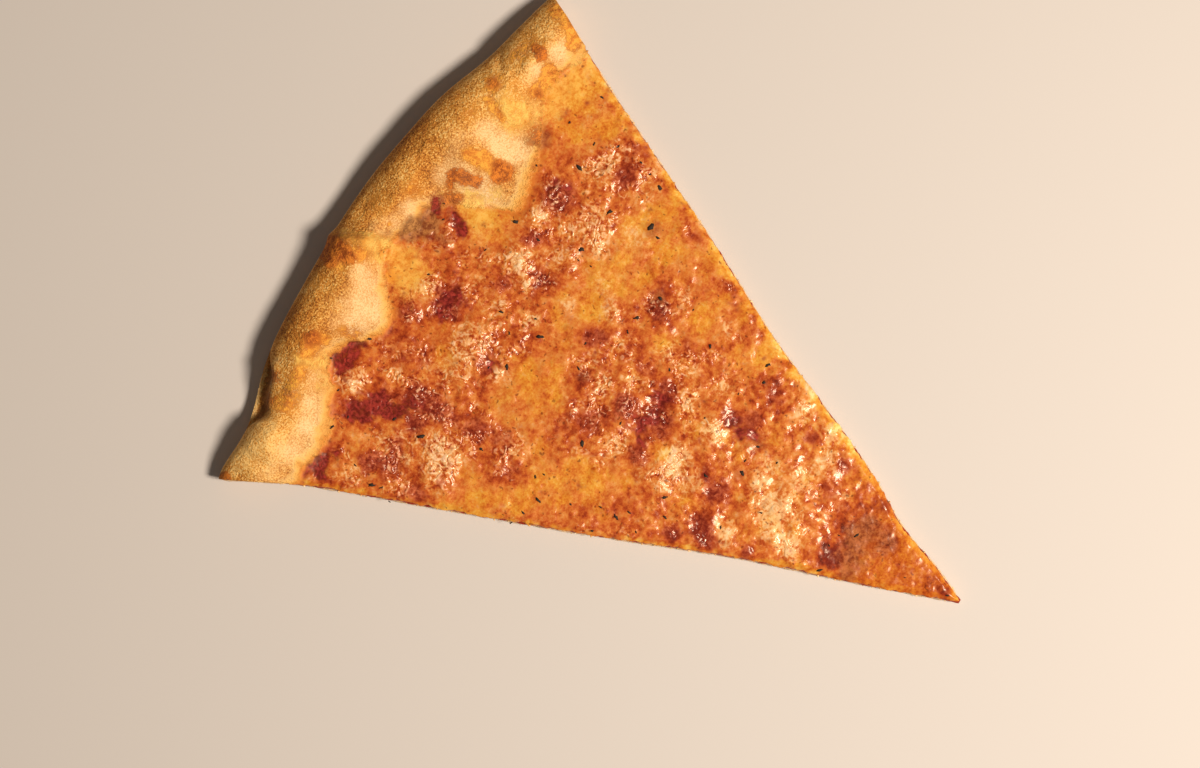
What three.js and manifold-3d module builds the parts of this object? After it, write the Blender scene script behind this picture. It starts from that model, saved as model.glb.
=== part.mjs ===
// A slice of thin-crust cheese pizza, about an eighth of a large round pie, lying flat.
//
// It has three layers. The dough is a thin slab that swells into a puffed rim. A sheet
// of tomato sauce lies on the slab, and the baked cheese, with its lumps, blisters and
// dried herb flakes, covers the sauce. All three layers show at the two cut sides.
//
// Units are millimetres and degrees. +Z is up, the tip points to -Y, the rim is at +Y,
// and the origin is at the middle of the slice's box, on the surface it lies on.

import * as THREE from 'three';
import { mergeVertices } from 'three/addons/utils/BufferGeometryUtils.js';
import Module from 'manifold-3d';

// ---- driving dimensions ----

const tipReach = 1.2; // the tip is blunt within this distance
const footReach = 218; // tip to the inner foot of the rim
const sliceReach = 236.6; // tip to the outside of the rim
const leftAngle = 22.4; // middle line to the left cut
const rightAngle = 22.9; // middle line to the right cut

const slabThickness = 3.4;
const sauceThickness = 0.8;
const cheeseThickness = 2.0;
const layerGap = 0.3; // clearance between one layer and the next
const footGap = 0.5; // clearance between the sauce or cheese and the rim's foot

const rimHeight = 17.5;
const ridgeInset = 11; // outside of the rim to its ridge
const widestShare = 0.42; // height of the rim's widest line, as a share of its height
const underTuck = 5; // how far the rim's underside curls in below the widest line
const footWidth = 0.6; // the steep step at the rim's foot, beside the cheese
const lipHeight = 6; // the low lip that is left where the rim is pinched
const lipWidth = 5;

const cheeseEdgeDrop = 0.7; // how far the cheese is pressed down at a cut
const cheeseEdgeWidth = 2.5;
const cheeseFootDrop = 0.6; // how far it thins towards the rim
const cheeseFootWidth = 9;

const cheeseSpacing = 3.4; // size of the facets on the cheese
const flatSpacing = 12; // and on the level faces under it
const rimFacets = 66; // facets along the rim, shared by all that meets at its foot

// ---- uneven shape: swellings at a place, with a half width and a size ----

// Cut sides, by distance from the tip: how many degrees further out.
const leftCutShape = [
  { at: 68, wide: 36, by: -1.1 },
  { at: 252, wide: 24, by: 0.8 },
];
const rightCutShape = [
  { at: 28, wide: 14, by: -3.6 },
  { at: 100, wide: 30, by: -0.9 },
  { at: 240, wide: 30, by: 0.4 },
];

// Rim, by degrees from the middle line: how many millimetres more.
const outsideShape = [
  { at: -23.5, wide: 3.4, by: 8.2 },
  { at: -13.5, wide: 6, by: 2.4 },
  { at: -2.5, wide: 0.6, by: 0.9 },
  { at: 8, wide: 4, by: -0.8 },
  { at: 16.2, wide: 4, by: -2.2 },
  { at: 24, wide: 2.5, by: 1.4 },
];
const footShape = [
  { at: -23.5, wide: 2.2, by: 5 },
  { at: -17.2, wide: 2.2, by: -3 },
  { at: -11.2, wide: 1.8, by: 4.5 },
  { at: -6.9, wide: 2.2, by: -10 },
  { at: -1.2, wide: 1.8, by: 4 },
  { at: 9.4, wide: 3, by: -20 },
  { at: 14.2, wide: 2.8, by: -12 },
];
const rimHeightShape = [
  { at: -24, wide: 2.6, by: -7 },
  { at: -16.6, wide: 1.7, by: -4.5 },
  { at: -2.5, wide: 1.2, by: 1.3 },
  { at: 1.6, wide: 2, by: -1 },
  { at: 9, wide: 4, by: 1 },
  { at: 16.9, wide: 0.8, by: -1 },
  { at: 24.5, wide: 2.6, by: -6 },
];
const pinchShape = [{ at: -16.3, wide: 1.7, by: 7.5 }]; // the rim pulls in over its low lip

// Folds, hollows and blisters on the rim: place from the tip, size, turn and rise.
const rimRelief = [
  { x: -7, y: 229, long: 9, wide: 1.7, turn: -66, rise: 1.7 },
  { x: 3, y: 225, long: 7, wide: 3, turn: -70, rise: -1.3 },
  { x: 16, y: 216, long: 13, wide: 4, turn: 2, rise: -1.8 },
  { x: -15, y: 231, long: 5, wide: 4.5, turn: 0, rise: 0.9 },
  { x: -41, y: 223, long: 5, wide: 4, turn: 0, rise: 0.7 },
  { x: -64, y: 219, long: 8, wide: 3, turn: 8, rise: 1.3 },
  { x: -84, y: 218, long: 7, wide: 3, turn: -75, rise: -1.2 },
  { x: 37, y: 205.5, long: 8, wide: 4, turn: 88, rise: 1 },
  { x: 54.5, y: 208.5, long: 6, wide: 5, turn: 60, rise: 0.9 },
  { x: 66.5, y: 221, long: 6, wide: 1.5, turn: 40, rise: -1.2 },
  { x: 75, y: 210, long: 8, wide: 3, turn: -10, rise: 0.8 },
];

// Large blisters and pools in the cheese.
const cheeseRelief = [
  { x: 40.5, y: 182, size: 4.5, rise: 1.1 },
  { x: -5, y: 127, size: 4.5, rise: 1.1 },
  { x: -3, y: 58, size: 4, rise: 1.0 },
  { x: -17, y: 203, size: 5, rise: 0.9 },
  { x: -57, y: 162, size: 4, rise: 0.9 },
  { x: -52, y: 169, size: 8, rise: 1.0 },
  { x: -15, y: 180, size: 9, rise: 1.0 },
  { x: 15, y: 182, size: 6, rise: 1.1 },
  { x: 2, y: 98, size: 8, rise: 0.9 },
  { x: -20, y: 108, size: 6, rise: 0.8 },
  { x: 40, y: 168, size: 10, rise: 0.9 },
  { x: -6, y: 66, size: 9, rise: 0.9 },
  { x: 30, y: 185, size: 5, rise: 0.8 },
  { x: -46, y: 205, size: 5, rise: 0.9 },
  { x: -50, y: 198, size: 6, rise: -0.5 },
  { x: -8, y: 193, size: 6, rise: -0.5 },
  { x: -2, y: 118, size: 7, rise: -0.5 },
  { x: 9, y: 92, size: 6, rise: -0.5 },
  { x: 0, y: 40, size: 9, rise: -0.4 },
  { x: -74, y: 199, size: 5, rise: -0.4 },
];
const lumpCount = 190; // small lumps of cheese, spread evenly
const smallestLump = 2.6;
const largestLump = 4.6;
const lumpRise = 0.75;

// Dried herb flakes: the large ones by place, the others spread evenly.
const largeFlakes = [
  { x: 30, y: 166 },
  { x: 45, y: 165 },
  { x: 48, y: 151 },
  { x: 26, y: 189 },
  { x: 52, y: 181 },
  { x: -71, y: 182 },
  { x: -49, y: 177 },
  { x: -15, y: 166 },
  { x: -1, y: 162 },
  { x: -23, y: 132 },
  { x: 21, y: 139 },
  { x: -37, y: 110 },
  { x: -23, y: 100 },
  { x: -3, y: 83 },
  { x: 31, y: 95 },
  { x: -16, y: 45 },
];
const largeFlakeLength = 2.9;
const smallFlakeCount = 30;
const smallFlakeLength = 2.0;
const flakeWidthShare = 0.6;
const flakeThickness = 0.9;

const goldenShare = 0.6180339887; // steps of this share of a whole never bunch up
const silverShare = 0.7548776662;

// ---- shape functions, all in distance from the tip and angle from the middle line ----

const radians = THREE.MathUtils.degToRad;
const degrees = THREE.MathUtils.radToDeg;
const { lerp, clamp, smoothstep } = THREE.MathUtils;

// The sum of a list of swellings at one position.
function swelling(shape, position) {
  let total = 0;
  for (const { at, wide, by } of shape) {
    total += by * Math.exp(-(((position - at) / wide) ** 2));
  }
  return total;
}

const leftCut = (reach) => -leftAngle - swelling(leftCutShape, reach);
const rightCut = (reach) => rightAngle + swelling(rightCutShape, reach);
const outsideAt = (angle) => sliceReach + swelling(outsideShape, angle);
const footAt = (angle) => footReach + swelling(footShape, angle);
const rimHeightAt = (angle) => rimHeight + swelling(rimHeightShape, angle);

// Distance along the arc to the nearer cut side.
function cutDistance(reach, angle) {
  const degreesIn = Math.min(angle - leftCut(reach), rightCut(reach) - angle);
  return reach * radians(Math.max(degreesIn, 0));
}

// A low wave in the dough that never quite repeats.
function doughWave(x, y) {
  return 0.35 * Math.sin(x * 0.21 + 1.7 * Math.sin(y * 0.13)) + 0.25 * Math.sin(y * 0.31 - x * 0.12 + 2);
}

// A long rounded swelling, turned by an angle.
function longSwelling({ x: centreX, y: centreY, long, wide, turn, rise }, x, y) {
  const cos = Math.cos(radians(turn));
  const sin = Math.sin(radians(turn));
  const along = (x - centreX) * cos + (y - centreY) * sin;
  const across = (y - centreY) * cos - (x - centreX) * sin;
  return rise * Math.exp(-((along / long) ** 2) - (across / wide) ** 2);
}

// Height of the dough's rim: a rounded roll with a gentle slope down to the foot. Where
// it is pinched, the roll pulls in and leaves a low lip outside it.
function rimTop(reach, angle) {
  const outside = outsideAt(angle);
  const rollEnd = outside - swelling(pinchShape, angle);
  const ridge = rollEnd - ridgeInset;
  const height = rimHeightAt(angle);
  const widest = height * widestShare;
  const stepTop = slabThickness + sauceThickness + cheeseThickness;
  const foot = footAt(angle) + footWidth;
  const x = reach * Math.sin(radians(angle));
  const y = reach * Math.cos(radians(angle));
  if (reach < ridge) {
    const climb = smoothstep(reach, foot - 4, ridge);
    return lerp(stepTop, height, climb) + reliefAt(x, y) * smoothstep(reach, foot, foot + 4);
  }
  const rollShare = clamp((reach - ridge) / ridgeInset, 0, 1);
  const lipShare = clamp((reach - outside + lipWidth) / lipWidth, 0, 1);
  const roll = widest + (height - widest) * Math.sqrt(1 - rollShare ** 2);
  const lip = lerp(lipHeight, widest, lipShare ** 3);
  const relief = reliefAt(x, y) * (1 - smoothstep(rollShare, 0.6, 1));
  return reach < rollEnd ? Math.max(roll + relief, lip) : lip;
}

function reliefAt(x, y) {
  let total = doughWave(x, y);
  for (const fold of rimRelief) {
    total += longSwelling(fold, x, y);
  }
  return total;
}

// Place number k of count places spread evenly over the cheese.
function spreadPlace(k, count, margin) {
  const share = Math.sqrt((k + 0.5) / count);
  const side = lerp(margin, 1 - margin, (k * goldenShare) % 1);
  const rough = share * (footReach - 6);
  const angle = lerp(leftCut(rough), rightCut(rough), side);
  const reach = share * (footAt(angle) - 6);
  return { x: reach * Math.sin(radians(angle)), y: reach * Math.cos(radians(angle)) };
}

const cheeseLumps = [...cheeseRelief];
for (let k = 0; k < lumpCount; k++) {
  const sizeShare = (k * silverShare) % 1;
  const size = lerp(smallestLump, largestLump, sizeShare);
  cheeseLumps.push({ ...spreadPlace(k, lumpCount, 0.02), size, rise: lumpRise * (0.6 + 0.4 * sizeShare) });
}

const cheeseBottom = slabThickness + layerGap + sauceThickness + layerGap;

// Height of the cheese's top: level, with lumps, and thinner at the cuts and the rim.
function cheeseTop(reach, angle) {
  const x = reach * Math.sin(radians(angle));
  const y = reach * Math.cos(radians(angle));
  let height = cheeseBottom + cheeseThickness - 0.35;
  for (const lump of cheeseLumps) {
    const away = ((x - lump.x) ** 2 + (y - lump.y) ** 2) / lump.size ** 2;
    if (away < 6) {
      height += lump.rise * Math.exp(-away);
    }
  }
  height -= cheeseEdgeDrop * (1 - smoothstep(cutDistance(reach, angle), 0, cheeseEdgeWidth));
  height -= cheeseFootDrop * smoothstep(reach, footAt(angle) - cheeseFootWidth, footAt(angle));
  return Math.max(height, cheeseBottom + 0.8);
}

// ---- skins: closed meshes stitched from rows of points ----

class Skin {
  constructor() {
    this.positions = [];
    this.faces = [];
  }

  // A row from the left cut to the right cut, at a distance and height that vary with angle.
  row(reachAt, heightAt, count) {
    const row = [];
    for (let i = 0; i <= count; i++) {
      let reach = reachAt(0);
      let angle = 0;
      for (let pass = 0; pass < 3; pass++) {
        angle = lerp(leftCut(reach), rightCut(reach), i / count);
        reach = reachAt(angle);
      }
      row.push({ index: this.positions.length / 3, reach, angle });
      this.positions.push(reach * Math.sin(radians(angle)), reach * Math.cos(radians(angle)));
      this.positions.push(heightAt(reach, angle));
    }
    return row;
  }

  // Triangles between two chains of points that run the same way, measured by key.
  stitch(a, b, key) {
    let i = 0;
    let j = 0;
    while (i < a.length - 1 || j < b.length - 1) {
      const middleA = i < a.length - 1 ? a[i][key] + a[i + 1][key] : Infinity;
      const middleB = j < b.length - 1 ? b[j][key] + b[j + 1][key] : Infinity;
      const corners = middleA <= middleB
        ? [a[i].index, a[i + 1].index, b[j].index]
        : [a[i].index, b[j + 1].index, b[j].index];
      if (new Set(corners).size === 3) {
        this.faces.push(...corners);
      }
      if (middleA <= middleB) {
        i++;
      } else {
        j++;
      }
    }
  }

  // Closes the space between a stack of top rows and a stack of bottom rows.
  close(topRows, bottomRows) {
    for (let k = 1; k < topRows.length; k++) {
      this.stitch(topRows[k - 1], topRows[k], 'angle');
    }
    for (let k = 1; k < bottomRows.length; k++) {
      this.stitch(bottomRows[k], bottomRows[k - 1], 'angle');
    }
    const first = (row) => row[0];
    const last = (row) => row[row.length - 1];
    this.stitch(topRows.map(first), bottomRows.map(first), 'reach');
    this.stitch(bottomRows.map(last), topRows.map(last), 'reach');
    this.stitch(first(bottomRows), first(topRows), 'angle');
    if (last(topRows) !== last(bottomRows)) {
      this.stitch(last(topRows), last(bottomRows), 'angle');
    }
  }

  geometry() {
    const geometry = new THREE.BufferGeometry();
    geometry.setAttribute('position', new THREE.Float32BufferAttribute(this.positions, 3));
    geometry.setIndex(this.faces);
    return geometry;
  }
}

// Rows spread from the tip out to a distance. The last has the rim's own facets.
function spreadRows(skin, reachAt, heightAt, spacing) {
  const steps = Math.round(reachAt(0) / spacing);
  const rows = [];
  for (let k = 0; k < steps; k++) {
    const share = lerp(tipReach / reachAt(0), 1, k / steps);
    const arc = share * reachAt(0) * radians(leftAngle + rightAngle);
    const facets = Math.max(1, Math.round(arc / spacing));
    rows.push(skin.row((angle) => share * reachAt(angle), heightAt, facets));
  }
  rows.push(skin.row(reachAt, heightAt, rimFacets));
  return rows;
}

// ---- the layers ----

function doughGeometry() {
  const skin = new Skin();
  const topRows = spreadRows(skin, footAt, () => slabThickness, flatSpacing);
  const slopeSteps = 6;
  const rollSteps = 8;
  for (let k = 0; k <= slopeSteps; k++) {
    const slopeReach = (angle) => {
      const ridge = outsideAt(angle) - swelling(pinchShape, angle) - ridgeInset;
      return lerp(footAt(angle) + footWidth, ridge, k / slopeSteps);
    };
    topRows.push(skin.row(slopeReach, rimTop, rimFacets));
  }
  for (let k = 1; k <= rollSteps; k++) {
    const rollReach = (angle) => {
      const ridge = outsideAt(angle) - swelling(pinchShape, angle) - ridgeInset;
      return lerp(ridge, outsideAt(angle), Math.sin(radians((90 * k) / rollSteps)));
    };
    topRows.push(skin.row(rollReach, rimTop, rimFacets));
  }
  const bottomRows = spreadRows(skin, (angle) => outsideAt(angle) - underTuck, () => 0, flatSpacing);
  const tuckSteps = 3;
  for (let k = 1; k < tuckSteps; k++) {
    const turn = radians((90 * k) / tuckSteps);
    const tuckReach = (angle) => outsideAt(angle) - underTuck * (1 - Math.sin(turn));
    const tuckHeight = (reach, angle) => rimHeightAt(angle) * widestShare * (1 - Math.cos(turn));
    bottomRows.push(skin.row(tuckReach, tuckHeight, rimFacets));
  }
  bottomRows.push(topRows[topRows.length - 1]);
  skin.close(topRows, bottomRows);
  return skin.geometry();
}

function sauceGeometry() {
  const skin = new Skin();
  const reachAt = (angle) => footAt(angle) - footGap;
  const bottom = slabThickness + layerGap;
  const topRows = spreadRows(skin, reachAt, () => bottom + sauceThickness, flatSpacing);
  const bottomRows = spreadRows(skin, reachAt, () => bottom, flatSpacing);
  skin.close(topRows, bottomRows);
  return skin.geometry();
}

function plainCheeseGeometry() {
  const skin = new Skin();
  const reachAt = (angle) => footAt(angle) - footGap;
  const topRows = spreadRows(skin, reachAt, cheeseTop, cheeseSpacing);
  const bottomRows = spreadRows(skin, reachAt, () => cheeseBottom, flatSpacing);
  skin.close(topRows, bottomRows);
  return skin.geometry();
}

// A thin chip of dried herb, half sunk in the cheese.
function flakeGeometry({ x, y }, length, turn) {
  const reach = Math.hypot(x, y);
  const angle = degrees(Math.atan2(x, y));
  const flake = new THREE.IcosahedronGeometry(1, 0);
  flake.scale(length / 2, (length * flakeWidthShare) / 2, flakeThickness / 2);
  flake.rotateZ(turn);
  flake.translate(x, y, cheeseTop(reach, angle) + flakeThickness * 0.15);
  return flake;
}

const wasm = await Module();
wasm.setup();

function toSolid(geometry) {
  const bare = geometry.clone();
  bare.deleteAttribute('normal');
  bare.deleteAttribute('uv');
  const merged = mergeVertices(bare);
  const vertProperties = new Float32Array(merged.attributes.position.array);
  const triVerts = new Uint32Array(merged.index.array);
  return new wasm.Manifold(new wasm.Mesh({ numProp: 3, vertProperties, triVerts }));
}

function toGeometry(solid) {
  const { vertProperties, triVerts } = solid.getMesh();
  const geometry = new THREE.BufferGeometry();
  geometry.setAttribute('position', new THREE.BufferAttribute(vertProperties, 3));
  geometry.setIndex(new THREE.BufferAttribute(triVerts, 1));
  return geometry;
}

function cheeseGeometry() {
  let solid = toSolid(plainCheeseGeometry());
  largeFlakes.forEach((place, k) => {
    solid = solid.add(toSolid(flakeGeometry(place, largeFlakeLength, k * 2.1)));
  });
  for (let k = 0; k < smallFlakeCount; k++) {
    const place = spreadPlace(k, smallFlakeCount, 0.08);
    solid = solid.add(toSolid(flakeGeometry(place, smallFlakeLength, k * 1.3)));
  }
  return toGeometry(solid);
}

// ---- the slice ----

function layer(name, geometry, color, roughness) {
  geometry.computeVertexNormals();
  const material = new THREE.MeshStandardMaterial({ color, roughness, metalness: 0 });
  const mesh = new THREE.Mesh(geometry, material);
  mesh.name = name;
  return mesh;
}

const slice = new THREE.Group();
slice.name = 'cheese_pizza_slice';
slice.add(layer('dough', doughGeometry(), 0xe0b070, 0.8));
slice.add(layer('sauce', sauceGeometry(), 0x9c2f12, 0.45));
slice.add(layer('cheese', cheeseGeometry(), 0xe0923a, 0.35));

const size = new THREE.Box3().setFromObject(slice);
const middle = size.getCenter(new THREE.Vector3());
for (const mesh of slice.children) {
  mesh.position.set(-middle.x, -middle.y, 0);
}

export default slice;
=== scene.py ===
import itertools
import math

import bpy
import numpy as np
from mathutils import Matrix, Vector
from mathutils.geometry import tessellate_polygon


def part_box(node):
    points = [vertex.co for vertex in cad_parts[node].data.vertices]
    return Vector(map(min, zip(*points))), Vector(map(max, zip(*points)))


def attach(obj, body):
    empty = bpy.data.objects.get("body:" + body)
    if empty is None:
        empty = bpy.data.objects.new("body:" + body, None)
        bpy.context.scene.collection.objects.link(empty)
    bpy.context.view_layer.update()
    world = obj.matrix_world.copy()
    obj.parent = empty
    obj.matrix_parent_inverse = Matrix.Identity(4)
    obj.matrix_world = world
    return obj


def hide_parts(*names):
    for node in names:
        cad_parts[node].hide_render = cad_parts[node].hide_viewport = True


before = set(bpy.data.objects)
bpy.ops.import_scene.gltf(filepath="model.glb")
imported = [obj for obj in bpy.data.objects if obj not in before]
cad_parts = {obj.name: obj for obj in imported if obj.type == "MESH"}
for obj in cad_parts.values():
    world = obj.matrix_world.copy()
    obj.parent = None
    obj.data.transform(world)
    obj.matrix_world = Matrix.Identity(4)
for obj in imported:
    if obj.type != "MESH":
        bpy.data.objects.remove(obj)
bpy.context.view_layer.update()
print("frame loaded")

millimetre = 0.001

# Shapes are worked out in millimetres from the tip of the slice: x across, y towards the rim,
# reach is the distance from the tip and angle the degrees from the middle line.

wedge = {
    "tipReach": 1.2,
    "footReach": 218.0,  # tip to the inner foot of the rim
    "outsideReach": 236.6,
    "leftAngle": 22.4,
    "rightAngle": 22.9,
    "width": 190,  # across the rim
    # uneven places: where, half width, how much
    "leftCutShape": [(68, 36, -1.1), (252, 24, 0.8)],
    "rightCutShape": [(28, 14, -3.6), (100, 30, -0.9), (240, 30, 0.4)],
    "outsideShape": [
        (-23.5, 3.4, 8.2), (-13.5, 6, 2.4), (-2.5, 0.6, 0.9), (8, 4, -0.8), (16.2, 4, -2.2), (24, 2.5, 1.4),
    ],
    "footShape": [
        (-23.5, 2.2, 5), (-17.2, 2.2, -3), (-11.2, 1.8, 4.5), (-6.9, 2.2, -10), (-1.2, 1.8, 4),
        (9.4, 3, -20), (14.2, 2.8, -12),
    ],
    # where no sauce stains the foot
    "cleanShape": [(-3.5, 1.5, 2.5), (7, 2.4, 4.5), (12.5, 3, 2.4), (18.5, 3, 1.5)],
    "slab": 3.4,  # thickness of the dough under the topping
    "sauce": 0.8,
    "cheese": 2.0,
    "gap": 0.3,
}
wedge["stepTop"] = wedge["slab"] + wedge["sauce"] + wedge["cheese"]
wedge["sauceBottom"] = wedge["slab"] + wedge["gap"]
wedge["cheeseBottom"] = wedge["sauceBottom"] + wedge["sauce"] + wedge["gap"]


def swelling(shape, where):
    return sum(by * np.exp(-(((where - at) / wide) ** 2)) for at, wide, by in shape)


def leftCut(reach):
    return -wedge["leftAngle"] - swelling(wedge["leftCutShape"], reach)


def rightCut(reach):
    return wedge["rightAngle"] + swelling(wedge["rightCutShape"], reach)


def outsideAt(angle):
    return wedge["outsideReach"] + swelling(wedge["outsideShape"], angle)


def footAt(angle):
    return wedge["footReach"] + swelling(wedge["footShape"], angle)


def flatPlace(reach, angle):
    return reach * np.sin(np.radians(angle)), reach * np.cos(np.radians(angle))


def fromTip(x, y):
    return np.hypot(x, y), np.degrees(np.arctan2(x, y))


def meets(lineOf, cutAt, near):
    # how far from the tip a line across the slice meets a cut
    return float(lineOf(cutAt(np.array([near])))[0])


def smoothStep(value, low, high):
    share = np.clip((value - low) / (high - low), 0, 1)
    return share * share * (3 - 2 * share)


def mix(a, b, share):
    return a + (b - a) * share


noiseTable = 128


def grain(x, y, size, seed, octaves=1, fade=0.5):
    # soft noise from about -1 to 1, with lumps about as wide as size
    rng = np.random.default_rng(seed)
    total = np.zeros_like(x, dtype=float)
    weight = 1.0
    for octave in range(octaves):
        turn = rng.uniform(0, 2 * np.pi, (noiseTable, noiseTable))
        lean = rng.uniform(0, np.pi)
        u = (x * np.cos(lean) - y * np.sin(lean)) / size + rng.uniform(0, noiseTable)
        v = (x * np.sin(lean) + y * np.cos(lean)) / size + rng.uniform(0, noiseTable)
        cellU = np.floor(u).astype(int)
        cellV = np.floor(v).astype(int)
        shareU = u - cellU
        shareV = v - cellV
        easeU = shareU ** 3 * (shareU * (shareU * 6 - 15) + 10)
        easeV = shareV ** 3 * (shareV * (shareV * 6 - 15) + 10)
        for stepU in (0, 1):
            for stepV in (0, 1):
                lean = turn[(cellU + stepU) % noiseTable, (cellV + stepV) % noiseTable]
                slope = np.cos(lean) * (shareU - stepU) + np.sin(lean) * (shareV - stepV)
                partU = easeU if stepU else 1 - easeU
                partV = easeV if stepV else 1 - easeV
                total += weight * 1.6 * partU * partV * slope
        weight *= fade
        size *= 0.5
    return total


def cells(x, y, size, seed):
    # distance to the nearest of scattered points, in sizes, and that point's own number
    rng = np.random.default_rng(seed)
    shift = rng.uniform(0.1, 0.9, (noiseTable, noiseTable, 2))
    number = rng.uniform(0, 1, (noiseTable, noiseTable))
    u = x / size + 40
    v = y / size + 40
    cellU = np.floor(u).astype(int)
    cellV = np.floor(v).astype(int)
    nearest = np.full(x.shape, 9.0)
    own = np.zeros(x.shape)
    for stepU in (-1, 0, 1):
        for stepV in (-1, 0, 1):
            placeU = (cellU + stepU) % noiseTable
            placeV = (cellV + stepV) % noiseTable
            away = np.hypot(
                cellU + stepU + shift[placeU, placeV, 0] - u, cellV + stepV + shift[placeU, placeV, 1] - v
            )
            closer = away < nearest
            nearest = np.where(closer, away, nearest)
            own = np.where(closer, number[placeU, placeV], own)
    return nearest, own


class Skin:
    # a mesh stitched from rows of points; a face's kind is the number of its material
    def __init__(self):
        self.points = []
        self.count = 0
        self.faces = []
        self.kinds = []

    def add(self, x, y, z):
        x, y, z = np.broadcast_arrays(x, y, z)
        self.points.append(np.stack([x, y, z], -1).reshape(-1, 3))
        first = self.count
        self.count += x.size
        return np.arange(first, self.count)

    def stitch(self, a, keyA, b, keyB, kind=0, flip=False):
        # triangles between two chains of points that run the same way
        middles = np.concatenate([keyA[1:] + keyA[:-1], keyB[1:] + keyB[:-1]])
        order = np.argsort(middles, kind="stable")
        fromA = order < len(keyA) - 1
        i = np.cumsum(fromA) - fromA
        j = np.cumsum(~fromA) - ~fromA
        nextA = a[np.minimum(i + 1, len(a) - 1)]
        nextB = b[np.minimum(j + 1, len(b) - 1)]
        faces = np.stack([a[i], np.where(fromA, nextA, nextB), b[j]], -1)
        same = (faces[:, 0] == faces[:, 1]) | (faces[:, 1] == faces[:, 2]) | (faces[:, 0] == faces[:, 2])
        faces = faces[~same]
        if flip:
            faces = faces[:, ::-1]
        self.addFaces(faces, kind)

    def addRow(self, rows, place, heightOf):
        # place is how far out and at what angle each point lies
        rows.append((self.add(*flatPlace(*place), heightOf(*place)), *place))

    def stitchRows(self, rows, flip=False):
        for inner, outer in zip(rows, rows[1:]):
            self.stitch(inner[0], inner[2], outer[0], outer[2], flip=flip)

    def addFaces(self, faces, kind=0):
        self.faces.append(faces)
        self.kinds.append(np.full(len(faces), kind))

    def corners(self):
        return np.concatenate(self.points)


def layRow(reachOf, count, inset=0.0):
    # a row of points from the left cut to the right cut
    share = np.linspace(0, 1, count + 1)
    angle = mix(-wedge["leftAngle"], wedge["rightAngle"], share)
    for step in range(3):
        reach = reachOf(angle)
        margin = np.degrees(inset / np.maximum(reach, 1))
        angle = mix(leftCut(reach) + margin, rightCut(reach) - margin, share)
    return reach, angle


def rowsTo(reachOf, spacing, first=None, inset=0.0):
    # evenly spread rows from the tip out to a distance
    middle = float(reachOf(np.zeros(1))[0])
    steps = int(round(middle / spacing))
    rows = []
    for k in range(steps + 1):
        share = mix((first or wedge["tipReach"]) / middle, 1, k / steps)
        arc = share * middle * math.radians(wedge["leftAngle"] + wedge["rightAngle"])
        count = max(2, int(round(arc / spacing)))
        rows.append(layRow(lambda angle: share * reachOf(angle), count, inset))
    return rows


def findTip():
    # where the tip of the slice lies in the CAD frame
    angle = np.linspace(-26, 26, 2081)
    outside = outsideAt(angle)
    inside = (angle > leftCut(outside)) & (angle < rightCut(outside))
    x, y = flatPlace(outside[inside], angle[inside])
    low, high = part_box("dough")
    shiftX = (low.x + high.x) * 500 - (x.min() + x.max()) / 2
    shiftY = high.y * 1000 - y.max()
    return shiftX, shiftY


shiftX, shiftY = findTip()


def newObject(name, data):
    added = bpy.data.objects.new(name, data)
    bpy.context.scene.collection.objects.link(added)
    return added


def makePiece(name, skin, materials, marks):
    corners = skin.corners()
    faces = np.concatenate(skin.faces)
    kinds = np.concatenate(skin.kinds)
    mesh = bpy.data.meshes.new(name)
    place = corners + np.array([shiftX, shiftY, 0])
    mesh.vertices.add(len(place))
    mesh.vertices.foreach_set("co", (place * millimetre).astype(np.float32).ravel())
    mesh.loops.add(faces.size)
    mesh.loops.foreach_set("vertex_index", faces.astype(np.int32).ravel())
    mesh.polygons.add(len(faces))
    mesh.polygons.foreach_set("loop_start", np.arange(0, faces.size, 3, dtype=np.int32))
    mesh.polygons.foreach_set("material_index", kinds.astype(np.int32))
    mesh.update(calc_edges=True)
    mesh.validate()
    mesh.polygons.foreach_set("use_smooth", np.full(len(mesh.polygons), True))
    for material in materials:
        mesh.materials.append(material)
    for mark, values in marks.items():
        layer = mesh.attributes.new(mark, "FLOAT", "POINT")
        layer.data.foreach_set("value", np.asarray(values, dtype=np.float32))
    print(name, len(mesh.polygons), "faces")
    return newObject(name, mesh)


def tone8(red, green, blue):
    # a colour as it looks on a screen, 0 to 255
    def toLinear(value):
        value /= 255
        return value / 12.92 if value <= 0.04045 else ((value + 0.055) / 1.055) ** 2.4

    return (toLinear(red), toLinear(green), toLinear(blue), 1.0)


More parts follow.
